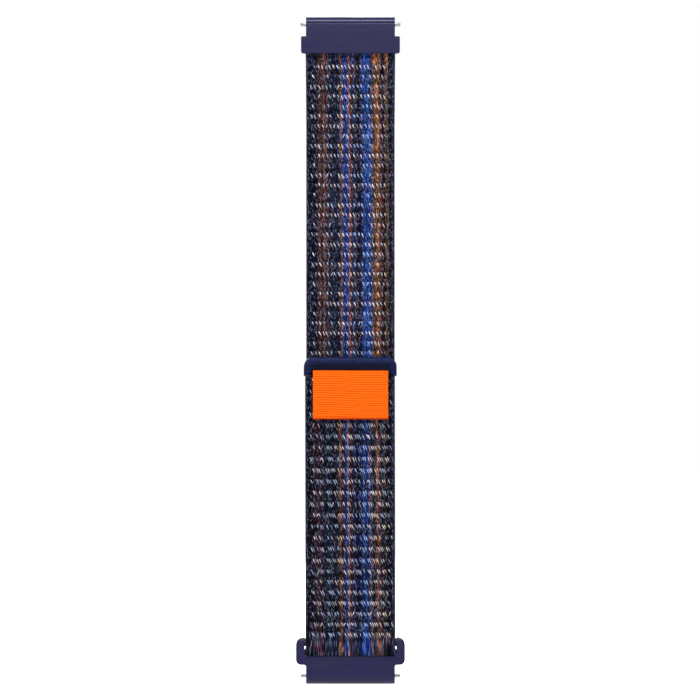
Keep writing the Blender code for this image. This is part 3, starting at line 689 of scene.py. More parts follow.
@dataclass
class Weave:
    """The cloth: its section, its strands and the float tips that stand on it."""

    path: StrapPath
    half_thickness: float = 0.8
    edge_round_share: float = 0.55
    rib_depth: float = 0.14
    columns: int = 22
    column_pitch: float = 0.9434
    first_column: float = -9.41
    strand_relief: float = 0.13
    strands_per_column: int = 2
    samples_per_strand: int = 4
    edge_steps: int = 6
    ring_step: float = 0.3
    plain_edge: float = 0.6
    selvedge: str = "#2c2e48"
    selvedge_widths: tuple[float, float] = (0.6, 0.85)
    row_blend: float = 0.4
    fold_tone: float = 1.5
    opening_tone: float = 1.45
    fold_rows: float = 0.28
    gather_start: float = -131.3
    gather_end: float = -153.0
    outer_sway: float = -0.3
    inner_sway: float = -0.33

    def __post_init__(self) -> None:
        """Turn the yarn letters to arrays of colours, and number the rows along the band.

        The outer face's rows are evenly spaced. The inner face's count from the free end, and with q
        from 0 to 1 between the two gather heights they gain a q + b q^8 rows, so they crowd there.
        """
        self.letters = {key: i for i, key in enumerate(YARNS)}
        self.palette = linear(*YARNS.values())
        self.strands = self.columns * self.strands_per_column
        self.left = self.first_column - self.column_pitch / 2
        run = self.path.run
        outer, inner = ORDERS[Face.OUTER], ORDERS[Face.INNER]
        start, end = self.path.up_to(self.gather_start), self.path.up_to(self.gather_end)
        q = np.clip((start - run) / (start - end), 0, 1)
        even, late = inner.gather
        self.rows = {
            Face.OUTER: (run - self.path.down_to(outer.first_row)) / outer.pitch,
            Face.INNER: (self.path.up_to(inner.first_row) - run) / inner.pitch + even * q + late * q**8,
        }

    def row_at(self, face: Face, run: np.ndarray | float) -> np.ndarray:
        """Rows of the weave at distances along the band, whole at each row line."""
        return np.interp(run, self.path.run, self.rows[face])

    def run_at(self, face: Face, row: np.ndarray) -> np.ndarray:
        """The distance along the band of a row, the inverse of row_at."""
        step = 1 if face is Face.OUTER else -1
        return np.interp(row, self.rows[face][::step], self.path.run[::step])

    def table(self, face: Face) -> np.ndarray:
        """The numbers of the ground yarns: one row per row of the repeat, and the opening row last."""
        order = ORDERS[face]
        lines = (*order.ground, order.opening or order.ground[0])
        return np.array([[self.letters[c] for c in line] for line in lines])

    def sway(self, face: Face, row: np.ndarray) -> np.ndarray:
        """How far the columns lie to the left: under the end piece, and more and more up the free end."""
        if face is Face.INNER:
            return self.inner_sway * (1 - np.clip(row / 20.0, -0.3, 1))
        return self.outer_sway * (1 - ease((row + 3.0) / 14.0))

    def strand_at(self, face: Face, x: np.ndarray, row: np.ndarray) -> np.ndarray:
        """The strand at a place, as a number that is whole at each strand's left edge."""
        return (x - self.left - self.sway(face, row)) / self.column_pitch * self.strands_per_column

    def drawn_out(self, inner: np.ndarray, row: np.ndarray) -> np.ndarray:
        """Rows as the filaments show them: round the fold the floats are long, so rows count for less.

        Args:
            inner: rows of the inner face, and 0 elsewhere.
            row: rows of the face that each place is on.
        Returns:
            The rows, of which those past the last tips grow slowly.
        """
        last = np.ceil(self.row_at(Face.INNER, self.path.up_to(ORDERS[Face.INNER].tips_above))) - 1
        return np.where(inner > last, last + 0.1 + (row - last) * self.fold_rows, row)

    def relief(self, x: np.ndarray, row: np.ndarray) -> np.ndarray:
        """How far the strands stand out.

        r |sin(pi u)|^0.7 (1 + sin(pi f)^0.5) / 2, with f = frac(row) and u the strand less f, so that
        each strand leans by one in a row and dips at the row line.
        """
        share = row - np.floor(row)
        strand = (x - self.left) / self.column_pitch * self.strands_per_column
        crest = np.abs(np.sin(math.pi * (strand - share)))
        dip = 0.5 + 0.5 * np.sin(math.pi * np.clip(share, 0, 1)) ** 0.5
        return self.strand_relief * crest**0.7 * dip

    def slow_tone(self, strand: np.ndarray, row: np.ndarray) -> np.ndarray:
        """A tone for each strand that goes evenly from one chance value to the next in four rows."""
        part = row / 4 - np.floor(row / 4)
        near, far = (spread(strand, np.floor(row / 4) + step, 3) for step in (0, 1))
        return 0.65 + 0.7 * (near * (1 - part) + far * part)

    def ground(self, face: Face, x: np.ndarray, row: np.ndarray, half: np.ndarray) -> np.ndarray:
        """The colour of the ground yarns.

        yarn * tone * chance * slow tone: the yarn is part its own row's and part the strand's mean, the
        tone falls from each row line to the next, which is a painted highlight at the row line and painted
        shade down to the next, and chance goes from 0.8 to 1.2 by strand and row.
        The selvedges have one colour of their own.

        Args:
            face: which face of the cloth.
            x: places across the band.
            row: rows along it.
            half: half the band's width.
        Returns:
            Linear colours with three values more than x and row together.
        """
        order = ORDERS[face]
        share = row - np.floor(row)
        whole = np.floor(row).astype(int)
        strand = np.floor(self.strand_at(face, x, row) + 0.3 * (0.5 - share)).astype(int)
        strand = np.clip(strand, 0, self.strands - 1)
        opening = whole < order.tips_from
        number = np.where(opening, len(order.ground), np.mod(whole, len(order.ground)))
        tones = self.palette[self.table(face)]
        yarn = (1 - self.row_blend) * tones[number, strand] + self.row_blend * tones[:-1].mean(0)[strand]
        # Painted light: lighter at each row line, where the yarns rise, and painted shade falling to the
        # next row line.
        tone = np.where(opening, self.opening_tone, order.row_line_highlight - order.row_line_shade_fall * share)
        if order.tips_above > self.path.fold_height:
            free = self.row_at(face, self.path.up_to(order.tips_above))
            back = self.row_at(face, self.path.down_to(order.tips_above))
            tone = np.where((row > np.ceil(free) - 1) & (row < back), self.fold_tone, tone)
        tone = tone * (0.8 + 0.4 * spread(strand, whole, 1)) * self.slow_tone(strand, row)
        cloth = yarn * tone[..., None]
        edge = linear(self.selvedge)[0] * (0.9 + 0.2 * spread(np.floor(row * 6), whole, strand))[..., None]
        left, right = self.selvedge_widths
        side = (ease((x - half + right) / 0.12) + ease((-x - half + left) / 0.12))[..., None]
        return cloth * (1 - side) + edge * side

    def section(self, half: np.ndarray, width: float) -> tuple[np.ndarray, np.ndarray]:
        """The line round the cloth's section, from left to right across the outer face.

        With s from 0 to pi round a selvedge, x = w + b sin s and the level is cos s.

        Args:
            half: half the band's width, one row per ring.
            width: the width that sets how many points lie across.
        Returns:
            Places across the band, one row per ring, and levels from 1 to -1, one row for all.
        """
        across = round(width / self.column_pitch * self.strands_per_column * self.samples_per_strand) + 1
        flat = np.linspace(-1, 1, across)
        turn = np.linspace(0, math.pi, self.edge_steps + 2)[1:-1]
        bulge = self.half_thickness * self.edge_round_share
        edge = half - bulge
        right = edge + np.sin(turn) * bulge
        x = np.hstack([flat * edge, right, flat[::-1] * edge, -right])
        return x, np.concatenate([np.ones(across), np.cos(turn), -np.ones(across), -np.cos(turn)])[None]

    def solid(
        self, stretch: Stretch, material: Material, drawn_in: Callable[[np.ndarray], np.ndarray],
    ) -> Object:
        """One length of the cloth as a closed solid.

        Its section runs across the outer face, round one selvedge, back across the inner face and round
        the other. Point(run, x) = C(run) + x X + n (e h + relief), with e from 1 to -1 round the
        selvedges and h = t - d (1 + cos(2 pi row)) / 2.

        Args:
            stretch: where it lies.
            material: its finish.
            drawn_in: how much narrower each side is, at distances along the band.
        Returns:
            The object.
        """
        rings = max(3, round((stretch.end - stretch.start) / self.ring_step) + 1)
        run = np.linspace(stretch.start, stretch.end, rings)[:, None]
        half = stretch.along(run, stretch.width) / 2 - drawn_in(run)
        x, level = self.section(half, stretch.width[0])
        front = np.broadcast_to(level > 0, x.shape)
        row = np.where(front, self.row_at(Face.OUTER, run), self.row_at(Face.INNER, run))
        groove = (1 + np.cos(math.tau * row)) / 2
        side = 1 - ease((np.abs(x) - (half - self.plain_edge)) / 0.2)
        height = level * (self.half_thickness - self.rib_depth * groove * side)
        height = height + np.sign(level) * self.relief(x, row) * side * (np.abs(level) > 0.99)
        place, normal = self.path.at(run)
        points = place + normal * height[..., None]
        points[..., 0] = x + stretch.along(run, stretch.centre)
        yarn = np.where(front[..., None], *(self.ground(face, x, row, half) for face in Face))
        strand = np.where(front, *(self.strand_at(face, x, row) for face in Face))
        # The pattern's numbers are kept above 0, where the shader's fractions run the right way.
        numbers = np.stack([strand + 100, self.drawn_out(np.where(front, 0, row), row) + 500], -1)
        around = x.shape[1]
        ends = [np.arange(around), np.arange(around)[::-1] + (rings - 1) * around]
        faces = grid_faces(rings, around)[:, ::-1]
        return mesh_object(f"{stretch.name}_cloth", points, faces, material, ends, yarn, weave=numbers)

    def starts(self, stretch: Stretch, face: Face) -> tuple[np.ndarray, np.ndarray, np.ndarray]:
        """Which floats start in a length: their rows, their letters' places and their yarns' numbers."""
        order = ORDERS[face]
        low, high = sorted(self.row_at(face, np.array([stretch.start, stretch.end])))
        rows = np.arange(max(order.tips_from, math.ceil(low)), math.floor(high) + 1)
        table = np.array([[self.letters.get(c, -1) for c in line] for line in order.tips])
        row, column = np.meshgrid(rows, np.arange(table.shape[1]), indexing="ij")
        number = table[np.mod(row, len(table)), column]
        height = np.interp(self.run_at(face, row), self.path.run, self.path.z)
        keep = (number >= 0) & (spread(row, column, 5) < 0.94) & (height > order.tips_above)
        return row[keep], column[keep], number[keep]

    def tips(self, stretch: Stretch, face: Face, material: Material) -> Object | None:
        """The pale floats that start at each row line of one face and lean down to the right.

        Each is a spindle: at the share q of its length l its middle is at run = r + q l cos a and
        x = c + q l sin a, and its radius is w (q (1 - q))^0.5. One in twenty leans the other way.

        Args:
            stretch: where the piece lies.
            face: which face of the cloth they stand on.
            material: its finish.
        Returns:
            The object, or nothing where no float starts in the length.
        """
        row, column, number = self.starts(stretch, face)
        if not len(row):
            return None
        order, outer = ORDERS[face], face is Face.OUTER
        letters = len(order.tips[0])
        seed = [spread(row, column, k) for k in range(6)]
        lean = (np.radians(18 + 12 * seed[1]) * np.where(seed[0] < 0.05, -1.0, 1.0))[:, None]
        length = (order.tip_length * (0.75 + 0.5 * seed[2]))[:, None]
        width = (order.tip_width * (0.8 + 0.4 * seed[3]))[:, None]
        shift = np.array(order.shifts)[np.mod(row, len(order.tips))] + 0.3 * (seed[4] - 0.5)
        spot = self.left + self.column_pitch * self.columns * (column + 0.5 + shift) / letters
        spot = (spot + self.sway(face, row))[:, None] - length * np.sin(lean) / 2
        first = self.run_at(face, row + 0.02 + 0.1 * (seed[5] - 0.5))[:, None]

        q = np.array([0.0, 0.08, 0.3, 0.55, 0.8, 0.95, 1.0])
        around = 6
        turn = np.arange(around) / around * math.tau
        run = first + (1 if outer else -1) * q * length * np.cos(lean)
        bulge = np.sqrt(np.clip(4 * q * (1 - q), 0, 1))
        radius = width / 2 * bulge
        radius[:, [0, -1]] = width * 0.04
        place, normal = self.path.at(run)
        outward = normal if outer else -normal
        middle = place + outward * (self.half_thickness + self.strand_relief * 0.4 + 0.05 * bulge)[:, None]
        middle[..., 0] = spot + q * length * np.sin(lean) + stretch.along(run, stretch.centre)
        side = np.stack([0 * run, -outward[..., 2], outward[..., 1]], -1)
        side = side * np.where(side[..., 2:] < 0, -1.0, 1.0) * np.sin(lean)[..., None]
        side[..., 0] = np.cos(lean)
        spin = radius[..., None, None] * np.stack([np.sin(turn), np.cos(turn)], -1)
        ring = middle[:, :, None] + outward[:, :, None] * spin[..., :1] + side[:, :, None] * spin[..., 1:]

        lids = (np.arange(around)[::-1], np.arange(around) + (len(q) - 1) * around)
        one = [grid_faces(len(q), around), *(lid[[[0, 1, 2, 3], [0, 3, 4, 5]]] for lid in lids)]
        faces = repeated(np.concatenate(one), len(row), len(q) * around)
        strand = column * self.strands // letters
        tip = self.palette[number][:, None]
        root = self.palette[self.table(face)[np.mod(row, len(order.ground)), strand]][:, None]
        # Each float goes from its pale yarn, brightest at its start, to a mix with the ground yarn further
        # along: partly the yarns' own colours, partly a painted highlight where the float rises out of the
        # cloth and painted shade where it sinks back.
        fade = ease(q * 1.1 - 0.15)[:, None]
        bright = (0.66 + 0.38 * spread(row, column, 9))[:, None, None]
        shade = tip * (1 - fade) * bright + (0.35 * tip + 0.65 * root) * fade
        uv = np.stack(np.broadcast_arrays(turn / math.tau * 0.8, run[..., None]), -1)
        return mesh_object(
            f"{stretch.name}_{face.value}_floats", ring, faces[:, ::-1] if outer else faces, material,
            yarn=np.repeat(shade[:, :, None], around, 2), thread=uv,
        )


@dataclass(frozen=True)
class Hold:
    """What a soft piece follows: one body, or two bodies and two heights between them. A piece with two is
    only fixed where it stands.
    """

    body: str
    next_body: str = ""
    start: float = 0.0
    end: float = 0.0

    def tie(self, piece: Object) -> None:
        """Tie a piece to its body, or, with two bodies, fix it where it stands."""
        if self.next_body:
            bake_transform(piece)
        else:
            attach(piece, self.body)


@dataclass
class Band:
    """The whole band in lengths that meet half way between the hinges, each across one hinge."""

    weave: Weave
    cloth: Material
    float_yarn: Material
    width: float = 21.7
    flare: float = 0.4
    flare_length: float = 24.0
    flap_width: float = 22.0
    flap_skew: float = -0.12
    tip_corner: float = 2.4
    fold_corner: float = 0.75
    fold_flare: float = 0.4
    fold_flare_height: float = 2.0
    fold_flare_length: float = 0.9
    fold_front: float = -149.5
    fold_back: float = -147.0
    mouth_bend: float = -6.6
    last_bend: float = -136.84
    peel_top: float = -143.6
    peel_bend: tuple[float, float] = (-149.3, -144.4)
    first_flap_hinge: int = 8

    def drawn_in(self, run: np.ndarray) -> np.ndarray:
        """How much narrower each side is at a distance along the band.

        The free end's tip and the fold's lowest line have round corners. Above the fold's corners the
        weight that hangs on the ring spreads the cloth to the slot's sides.
        """
        path = self.weave.path
        place, normal = path.at(run)
        outer = place[..., 2] - normal[..., 2] * self.weave.half_thickness
        lowest = path.fold_height - path.fold_radius - self.weave.half_thickness
        tip = np.clip(self.tip_corner - (path.run[-1] - run), 0, self.tip_corner * 0.98)
        fold = np.clip(self.fold_corner - (outer - lowest), 0, self.fold_corner * 0.98)
        flare = self.fold_flare * ease((self.fold_flare_height - outer + lowest) / self.fold_flare_length)
        return corner_drop(tip, self.tip_corner) + corner_drop(fold, self.fold_corner) - flare

    def lean(self, height: float) -> float:
        """How far the free end's middle lies to the left at a height, growing evenly to its tip."""
        share = (height - self.fold_back) / (self.weave.path.tip_height - self.fold_back)
        return self.flap_skew * max(0.0, share)

    def length(self, stretch: Stretch, hold: Hold, *nodes: str) -> None:
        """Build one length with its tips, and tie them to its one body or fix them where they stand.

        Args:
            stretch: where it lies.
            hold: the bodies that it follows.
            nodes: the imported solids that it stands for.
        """
        cloth = self.weave.solid(stretch, self.cloth, self.drawn_in)
        tips = [self.weave.tips(stretch, face, self.float_yarn) for face in Face]
        for piece in (cloth, *filter(None, tips)):
            hold.tie(piece)
        if nodes:
            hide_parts(*nodes)

    def build_hanging(self) -> None:
        """Build the lengths from the pocket down to the fold, and the fold."""
        path = self.weave.path
        cuts = [path.pocket_end, *(path.half_way(n) for n in range(1, path.hinges)), self.fold_back]
        for n, (high, low) in enumerate(zip(cuts, cuts[1:]), 1):
            flare = [self.flare * max(0.0, 1 + height / self.flare_length) for height in (high, low)]
            stretch = Stretch(
                f"band_{n:02d}", path.down_to(high), path.down_to(low),
                (self.width + flare[0], self.width + flare[1]),
            )
            if n == 1:
                hold = Hold("upper_end", "band_01", self.mouth_bend, low)
                self.length(stretch, hold, "strap_anchor_end", "strap_main_01")
            elif n == path.hinges:
                hold = Hold(f"band_{n - 1:02d}", "fold", self.last_bend, self.peel_top)
                self.length(stretch, hold, "strap_fold")
            else:
                hold = Hold(f"band_{n - 1:02d}", f"band_{n:02d}", high, low)
                self.length(stretch, hold, f"strap_main_{n:02d}")
        ends = path.down_to(self.fold_back), path.up_to(self.fold_front)
        self.length(Stretch("fold", *ends, (self.width, self.flap_width)), Hold("fold"))

    def build(self) -> None:
        """Build every length."""
        self.build_hanging()
        path = self.weave.path
        middles = [path.half_way(n) for n in range(path.hinges - 1, self.first_flap_hinge - 1, -1)]
        cuts = [self.fold_front, self.peel_top, *middles, path.tip_height]
        bends = list(zip(cuts, cuts[1:]))
        bends[0], bends[1] = self.peel_bend, (self.peel_top, self.last_bend)
        bends[-1] = (cuts[-2], cuts[-2] + path.hinge_step)
        for i, (low, high) in enumerate(zip(cuts, cuts[1:]), 1):
            stretch = Stretch(
                f"flap_{i}", path.up_to(low), path.up_to(high), (self.flap_width, self.flap_width),
                (self.lean(low), self.lean(high)),
            )
            below = "fold" if i == 1 else f"free_end_{i - 1:02d}"
            self.length(stretch, Hold(below, f"free_end_{i:02d}", *bends[i - 1]), f"flap_{i:02d}")


@dataclass
class TipTrim:
    """The navy binding, folded over the tip, with a leg down each side of the pull tab."""

    material: Material
    half_width: float = 11.37
    centre: float = -0.05
    top: float = -81.5
    low: float = -84.75
    leg_low: float = -86.2
    inside: float = 9.3
    slant: float = 0.5
    leg_slant: float = 0.9
    corner: float = 2.4
    front: float = -4.42
    back: float = -1.42
    ply: float = 0.34
    rise: float = 1.25
    pinch: float = 0.35
    pinch_length: float = 0.5
    ripple: float = 0.04
    steps: int = 12
    # deep is the binding's own navy; ridge is the colour of the painted highlight along the fold and the
    # legs.
    deep: str = "#040a20"
    ridge: str = "#121a3e"

    def line(self, x: np.ndarray, inset: float) -> np.ndarray:
        """One side of the tape, from the front's lower edge over the fold to the back's.

        In (y, z) it goes up the front, over the fold as half an ellipse and down the back. Near the
        ends the fold drops as a round corner does, and the tape is pinched.

        Args:
            x: places across the strap.
            inset: how far it lies inside the tape's outer side.
        Returns:
            Points (y, z), as an array of points by places by two.
        """
        past = np.abs(x)
        way = np.clip(past - (self.half_width - self.corner), 0, self.corner * 0.995)
        leg = ease((past - self.inside) / self.slant)
        outward = np.clip((past - self.inside) / (self.half_width - self.inside), 0, 1)
        low = self.low + (self.leg_low + self.leg_slant * (1 - outward) - self.low) * leg
        end = ease((past - (self.half_width - self.pinch_length)) / self.pinch_length)
        half = (self.back - self.front) / 2 - inset - self.pinch * end
        middle = (self.back + self.front) / 2
        waves = self.ripple * (np.sin(1.1 * x + 0.5) + 0.7 * np.sin(2.9 * x))
        crown = self.top - corner_drop(way, self.corner) - inset + waves
        spring = crown - self.rise
        share = np.linspace(0, 1, self.steps)[:, None]
        turn = np.linspace(math.pi, 0, self.steps * 2 + 1)[1:-1, None]
        sides = (
            (middle - half + (0.2 + 0.12 * leg) * ease(1 - share), low + (spring - low) * share),
            (middle + half * np.cos(turn), spring + (crown - spring) * np.sin(turn)),
            (middle + half - 0.1 * share, spring + (self.leg_low - spring) * share),
        )
        return np.concatenate([np.stack(side, -1) for side in sides])

    def build(self) -> None:
        """Build the binding, with a painted highlight along its fold and down its legs."""
        bend = self.half_width - self.corner * (1 - np.cos(np.linspace(0.25, math.pi / 2, 9)))
        inner = self.half_width - self.corner - 0.2
        x = np.concatenate([
            [-self.half_width], -bend, np.linspace(-inner, inner, 80), bend[::-1], [self.half_width],
        ])
        section = np.concatenate([self.line(x, 0.0), self.line(x, self.ply)[::-1]]).transpose(1, 0, 2)
        points = section.shape[1] // 2
        run = np.concatenate([np.arange(points), np.arange(points)[::-1]]) * 0.3
        uv = np.stack(np.broadcast_arrays(run, x[:, None]), -1)
        # A painted highlight on the top of the fold's front and on the legs, over the binding's own navy.
        deep, ridge = linear(self.deep, self.ridge)
        face = (self.back + self.front) / 2 - 0.2 - section[..., 0]
        painted_highlight = ease((section[..., 1] - self.top + 1.9) / 0.5) * ease(face / 0.5)
        painted_highlight = np.maximum(painted_highlight, ease((np.abs(x[:, None]) - self.inside - 0.3) / 0.4))
        yarn = deep + (ridge - deep) * painted_highlight[..., None]
        trim = swept("tip_trim_fold", section, x + self.centre, self.material, uv, yarn)
        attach(trim, "free_end_06")
        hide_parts("tip_trim")


@dataclass
class PullTab:
    """The orange ribbon, folded at its lower end, with a rib at each heavy weft."""

    material: Material
    width: float = 18.45
    centre: float = 0.03
    top: float = -84.4
    hinge: float = -85.0
    root: float = -3.89
    root_half: float = 0.09
    low: float = -96.8
    front: float = -5.02
    back: float = -4.02
    ply: float = 0.42
    pitch: float = 0.571
    samples_per_rib: int = 8
    rib: float = 0.075
    rib_floor: float = 0.06
    border: float = 0.55
    bend: tuple[float, float] = (-84.6, -85.9)

    def faces(self, x: np.ndarray, z: np.ndarray, wave: np.ndarray) -> tuple[np.ndarray, np.ndarray]:
        """Where the front and the back lie.

        A rib's height is r |cos(pi v)|^0.8 m, with v the rib number and m falling to 0 at the borders
        and at both ends. Above the hinge both faces turn in under the binding.

        Args:
            x: places across the ribbon, one row each.
            z: heights.
            wave: rib numbers, one for each place and height.
        Returns:
            The front's and the back's y.
        """
        half = self.width / 2
        radius = (self.back - self.front) / 2
        margin = ease((half - np.abs(x)) / self.border * 1.2 - 0.3)
        fade = ease((self.hinge - 0.3 - z) / 0.6) * ease((z - self.low - radius) / 0.4)
        ribs = self.rib * np.abs(np.cos(math.pi * wave)) ** 0.8 * margin * fade
        edge = 0.035 * ease((np.abs(x) - half + 0.12) / 0.12)
        turned = ease((z - self.hinge + 0.15) / 0.35)
        front, back = self.front + self.rib_floor - ribs + edge, self.back - self.rib_floor + ribs
        front = front + (self.root - self.root_half - front) * turned
        return front, back + (self.root + self.root_half - back) * turned

    def inside(self) -> np.ndarray:
        """The line (y, z) between the plies, from the root down the back ply and up the front one."""
        middle, radius = (self.front + self.back) / 2, (self.back - self.front) / 2
        gap = radius - self.ply
        turn = np.linspace(0, -math.pi, 9)
        slot = np.stack([middle + gap * np.cos(turn), self.low + radius + 0.1 + gap * np.sin(turn)], -1)
        down, up = (
            [(self.root + sign * 0.01, self.top), (self.root + sign * 0.01, self.hinge + 0.2),
             (middle + sign * gap, self.hinge - 0.4)]
            for sign in (1, -1)
        )
        return np.concatenate([down, slot, up[::-1]])

    def build(self) -> None:
        """Build the ribbon: down the front, round the folded end, up the back, and the gap inside."""
        half = self.width / 2
        middle, radius = (self.front + self.back) / 2, (self.back - self.front) / 2
        x = np.concatenate([
            [-half, -half + 0.06], np.linspace(-half + 0.2, half - 0.2, 64), [half - 0.06, half],
        ])[:, None]
        count = round((self.top - self.low) / self.pitch * self.samples_per_rib)
        z = np.linspace(self.top, self.low + radius, count)
        # The weft sways by a sixth of a millimetre across the ribbon.
        wave = (z + 0.16 * np.tanh((x + 1.0) / 3.0)) / self.pitch
        front, back = self.faces(x, z, wave)
        turn = np.linspace(-math.pi, 0, 13)[1:-1]
        nose = np.stack([middle + radius * np.cos(turn), self.low + radius + radius * np.sin(turn)], -1)
        section = np.concatenate([
            np.stack(np.broadcast_arrays(front, z), -1), np.broadcast_to(nose, (len(x), *nose.shape)),
            np.stack(np.broadcast_arrays(back, z), -1)[:, ::-1],
            np.broadcast_to(self.inside(), (len(x), *self.inside().shape)),
        ], 1)
        # Half a rib on is the groove's painted shade, which all but the front's face has: the front's
        # borders, the folded end, the back and the gap inside.
        phase = np.full(section.shape[:2], 0.5)
        phase[:, :count] = np.where(np.abs(x) > half - 0.1, 0.5, wave)
        uv = np.stack(np.broadcast_arrays(x, phase), -1)
        places = x[:, 0] + self.centre
        tab = swept("pull_tab_ribbon", section[:, ::-1], places, self.material, uv[:, ::-1])
        Hold("free_end_06", "tab", *self.bend).tie(tab)
        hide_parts("pull_tab")


@dataclass
class HookTape:
    """Moulded hook tape on the back of the free end: a thin backing and rows of bent hooks."""

    path: StrapPath
    material: Material
    width: float = 18.0
    centre: float = -0.4
    low: float = -129.4
    high: float = -86.6
    back: float = -2.02
    backing: float = 0.38
    pitch_x: float = 0.9
    pitch_z: float = 0.85
    stagger: float = 0.2
    stem: float = 0.13
    sunk: float = 0.03

    def tape(self, name: str, low: float, high: float) -> Object:
        """The backing of one strip, a flat slab between two heights."""
        x = np.linspace(-self.width / 2, self.width / 2, 13)
        z = np.linspace(low, high, max(2, round((high - low) / 0.6)))
        section = np.concatenate([
            np.stack([np.full(len(z), y), line], -1)
            for y, line in ((self.back, z), (self.back + self.backing, z[::-1]))
        ])[::-1]
        uv = np.stack(np.broadcast_arrays(x[:, None], section[:, 1]), -1)
        section = np.broadcast_to(section, (len(x), *section.shape))
        return swept(name, section, x + self.centre, self.material, uv)

    def hooks(self, name: str, low: float, high: float) -> Object:
        """The hooks of one strip.

        A hook's middle line rises, leans over and comes down, and a ring of five points stands square
        to it: (x, y, z) = m + r (cos t, -sin a sin t, cos a sin t), with a the lean there.

        Args:
            name: the piece's name.
            low: height of the strip's lower end.
            high: height of its upper end.
        Returns:
            The object, with a cap on both ends of each hook.
        """
        half = self.width / 2
        x, z = np.meshgrid(
            np.arange(-half + 0.6, half - 0.4, self.pitch_x),
            np.arange(low + 0.45, high - 0.5, self.pitch_z),
        )
        x, z = x.ravel() + self.centre, z.ravel() + self.stagger * (np.arange(x.size) % 2)
        line = np.array([[0.0, 0.0], [0.2, 0.0], [0.34, 0.06], [0.42, 0.2], [0.34, 0.33], [0.24, 0.34]])
        lean = (np.array([0.0, 0.0, 0.35, 0.9, 1.4, 1.55]) * math.pi / 2 * 0.95)[:, None]
        radius = (self.stem / 2 * np.array([1.25, 1.0, 1.0, 1.0, 0.9, 0.55]))[:, None]
        turn = np.arange(5) / 5 * math.tau
        root = np.stack([x, np.full(x.size, self.back + self.backing - self.sunk), z], -1)
        one = np.stack([
            radius * np.cos(turn), line[:, :1] - radius * np.sin(lean) * np.sin(turn),
            line[:, 1:] + radius * np.cos(lean) * np.sin(turn),
        ], -1)
        points = root[:, None, None] + one
        steps, around = one.shape[:2]
        faces = repeated(grid_faces(steps, around)[:, ::-1], len(root), steps * around)
        lids = np.stack([np.arange(around), (steps - 1) * around + np.arange(around)[::-1]])
        caps = repeated(lids, len(root), steps * around)
        return mesh_object(name, points, faces, self.material, caps, thread=points[..., [0, 2]])

    def build(self) -> None:
        """Build the four strips, which meet half way between the hinges."""
        cuts = [self.low, *(self.path.half_way(n) for n in (10, 9, 8)), self.high]
        for i, (low, high) in enumerate(zip(cuts, cuts[1:]), 1):
            tape = self.tape(f"hook_tape_{i}_backing", low, high)
            bend = self.path.half_way(12 - i), self.path.half_way(11 - i)
            hold = Hold(f"free_end_{i + 1:02d}", f"free_end_{i + 2:02d}", *bend)
            for piece in (tape, self.hooks(f"hook_tape_{i}_hooks", low, high)):
                hold.tie(piece)
            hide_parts(f"hook_tape_{i:02d}")


def smoothed(node: str, material: Material, angle: float = 32) -> Object:
    """Stand a smooth-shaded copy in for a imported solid.

    Args:
        node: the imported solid's name.
        material: its finish.
        angle: edges sharper than this, in degrees, stay sharp.
    Returns:
        The copy, which still has to be tied to its body.
    """
    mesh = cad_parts[node].data.copy()
    work = bmesh.new()
    work.from_mesh(mesh)
    bmesh.ops.remove_doubles(work, verts=work.verts, dist=0.002 * MM)
    bmesh.ops.dissolve_limit(work, angle_limit=math.radians(0.5), verts=work.verts, edges=work.edges)
    work.to_mesh(mesh)
    work.free()
    mesh.polygons.foreach_set("use_smooth", np.ones(len(mesh.polygons), bool))
    mesh.set_sharp_from_angle(angle=math.radians(angle))
    mesh.materials.clear()
    mesh.materials.append(material)
    obj = bpy.data.objects.new(f"{node}_smooth", mesh)
    bpy.context.scene.collection.objects.link(obj)
    obj.modifiers.new("even_shading", "WEIGHTED_NORMAL").keep_sharp = True
    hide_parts(node)
    LOG.info("%s: %d faces", obj.name, len(mesh.polygons))
    return obj


@dataclass
class Mouldings:
    """The two moulded ends: the end piece at the top and the ring at the bottom."""

    material: Material

    def build(self) -> None:
        """Build both."""
        for node, body in (("upper_adapter", "upper_end"), ("ring_adapter", "ring")):
            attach(smoothed(node, self.material), body)


@dataclass
class SpringBar:
    """A quick-release spring bar: tube, two tips, the knob that slides one of them, and the spring."""

    material: Material
    end: str
    body: str
    height: float
    spring_start: float = -7.97
    spring_end: float = 4.77

    def build(self) -> None:
        """Build the bar: its parts tied to their bodies, and the spring fixed where it stands."""
        slider = f"{self.end}_plunger"
        bodies = {"tube": self.body, "fixed_tip": self.body, "plunger": slider, "release_knob": slider}
        for part, body in bodies.items():
            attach(smoothed(f"{self.end}_bar_{part}", self.material), body)
        spring = smoothed(f"{self.end}_bar_spring", self.material, 60)
        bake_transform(spring)


@dataclass(frozen=True)
class Lamp:
    """A soft rectangular lamp that looks at the strap."""

    name: str
    place: tuple[float, float, float]
    size: tuple[float, float]
    power: float

    def hang(self, aim: Vector) -> None:
        """Hang the lamp so that it looks at a point, which is given in metres."""
        light = bpy.data.lights.new(self.name, "AREA")
        light.shape = "RECTANGLE"
        light.size, light.size_y = self.size[0] * MM, self.size[1] * MM
        light.energy = self.power
        lamp = bpy.data.objects.new(self.name, light)
        lamp.location = Vector(self.place) * MM
        lamp.rotation_euler = (aim - lamp.location).to_track_quat("-Z", "Y").to_euler()
        bpy.context.scene.collection.objects.link(lamp)


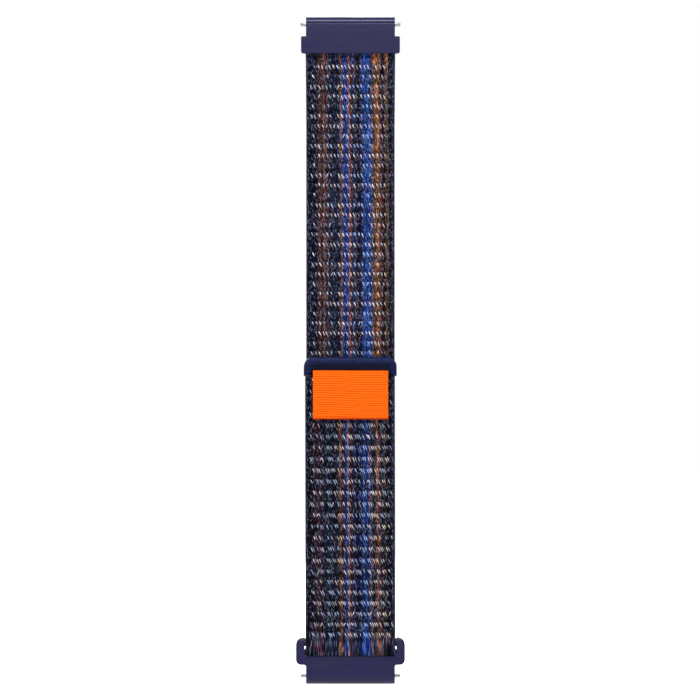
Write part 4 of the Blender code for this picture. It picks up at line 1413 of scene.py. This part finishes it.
@dataclass
class Studio:
    """The floor, the soft lights and the camera square to the front."""

    frame_width: float = 171.75
    distance: float = 1400.0
    aim: tuple[float, float] = (-0.11, -79.84)
    floor_height: float = -172.0
    floor_half: float = 3000.0
    world_light: float = 0.16
    lamps: tuple[Lamp, ...] = (
        Lamp("key", (-170, -560, 700), (360, 360), 2.0),
        Lamp("fill", (560, -880, 60), (700, 700), 0.2),
        Lamp("strip", (0, -250, 480), (700, 160), 5.4),
        Lamp("front", (0, -1500, 250), (420, 130), 4.0),
        Lamp("rear", (-260, 900, 300), (600, 600), 6.0),
    )

    def build_world(self) -> None:
        """Build the surroundings: a low light on the object, and white where they are seen."""
        world = bpy.data.worlds.new("studio")
        bpy.context.scene.world = world
        world.use_nodes = True
        tree = world.node_tree
        tree.nodes.clear()
        soft, white = (
            add_node(tree, "Background", {"Color": (1.0, 1.0, 1.0, 1.0), "Strength": strength})
            for strength in (self.world_light, 1.0)
        )
        add_node(tree, "OutputWorld", add_node(tree, "MixShader", seen_directly(tree), soft, white))

    def build(self) -> None:
        """Build the studio.

        The lens is sensor * distance / frame width, so that the strap fills the frame as it should.
        """
        corners = np.array([(-1, -1), (1, -1), (1, 1), (-1, 1)]) * self.floor_half
        paper = StudioPaper("white_studio_paper", "#f4f4f4").make()
        points = np.insert(corners, 2, self.floor_height, axis=1)
        mesh_object("floor", points, np.array([[0, 1, 2, 3]]), paper)
        for lamp in self.lamps:
            lamp.hang(Vector((0, 0, self.aim[1])) * MM)
        self.build_world()
        data = bpy.data.cameras.new("camera")
        data.sensor_width = 36.0
        data.lens = data.sensor_width * self.distance / self.frame_width
        camera = bpy.data.objects.new("camera", data)
        camera.location = Vector((self.aim[0], -self.distance, self.aim[1])) * MM
        camera.rotation_euler = (math.pi / 2, 0, 0)
        bpy.context.scene.collection.objects.link(camera)
        bpy.context.scene.camera = camera
        bpy.context.scene.view_settings.view_transform = "Standard"


def main() -> None:
    """Build every piece in order."""
    logging.basicConfig(level=logging.INFO, format="%(name)s: %(message)s")
    navy = MouldedNylon("moulded_navy_nylon", "#0f0d3a").make()
    steel = TurnedSteel("turned_stainless_steel", "#88888e").make()
    cloth = YarnCloth("woven_polyester_yarn").make()
    floats = FloatYarn("bulked_yarn_floats").make()
    binding = FloatYarn("navy_binding_ribbon", gloss=0.06, sheen=0.0, streak=0.24, contrast=0.9).make()
    # The groove colour is painted shade and the crest colour a painted highlight.
    orange = Grosgrain("orange_grosgrain_ribbon", "#b42c00", "#fc6c05").make()
    hooks = HookNylon("black_nylon_hook_tape", "#0d0e14", "#1c1e28").make()
    path = StrapPath()
    assemblies = (
        Studio(), Band(Weave(path), cloth, floats), TipTrim(binding), PullTab(orange),
        HookTape(path, hooks), Mouldings(navy), SpringBar(steel, "upper", "upper_end", 0.0),
        SpringBar(steel, "lower", "ring", -159.8),
    )
    for assembly in assemblies:
        assembly.build()
        LOG.info("%s is built", type(assembly).__name__)


if __name__ == "__main__":
    main()
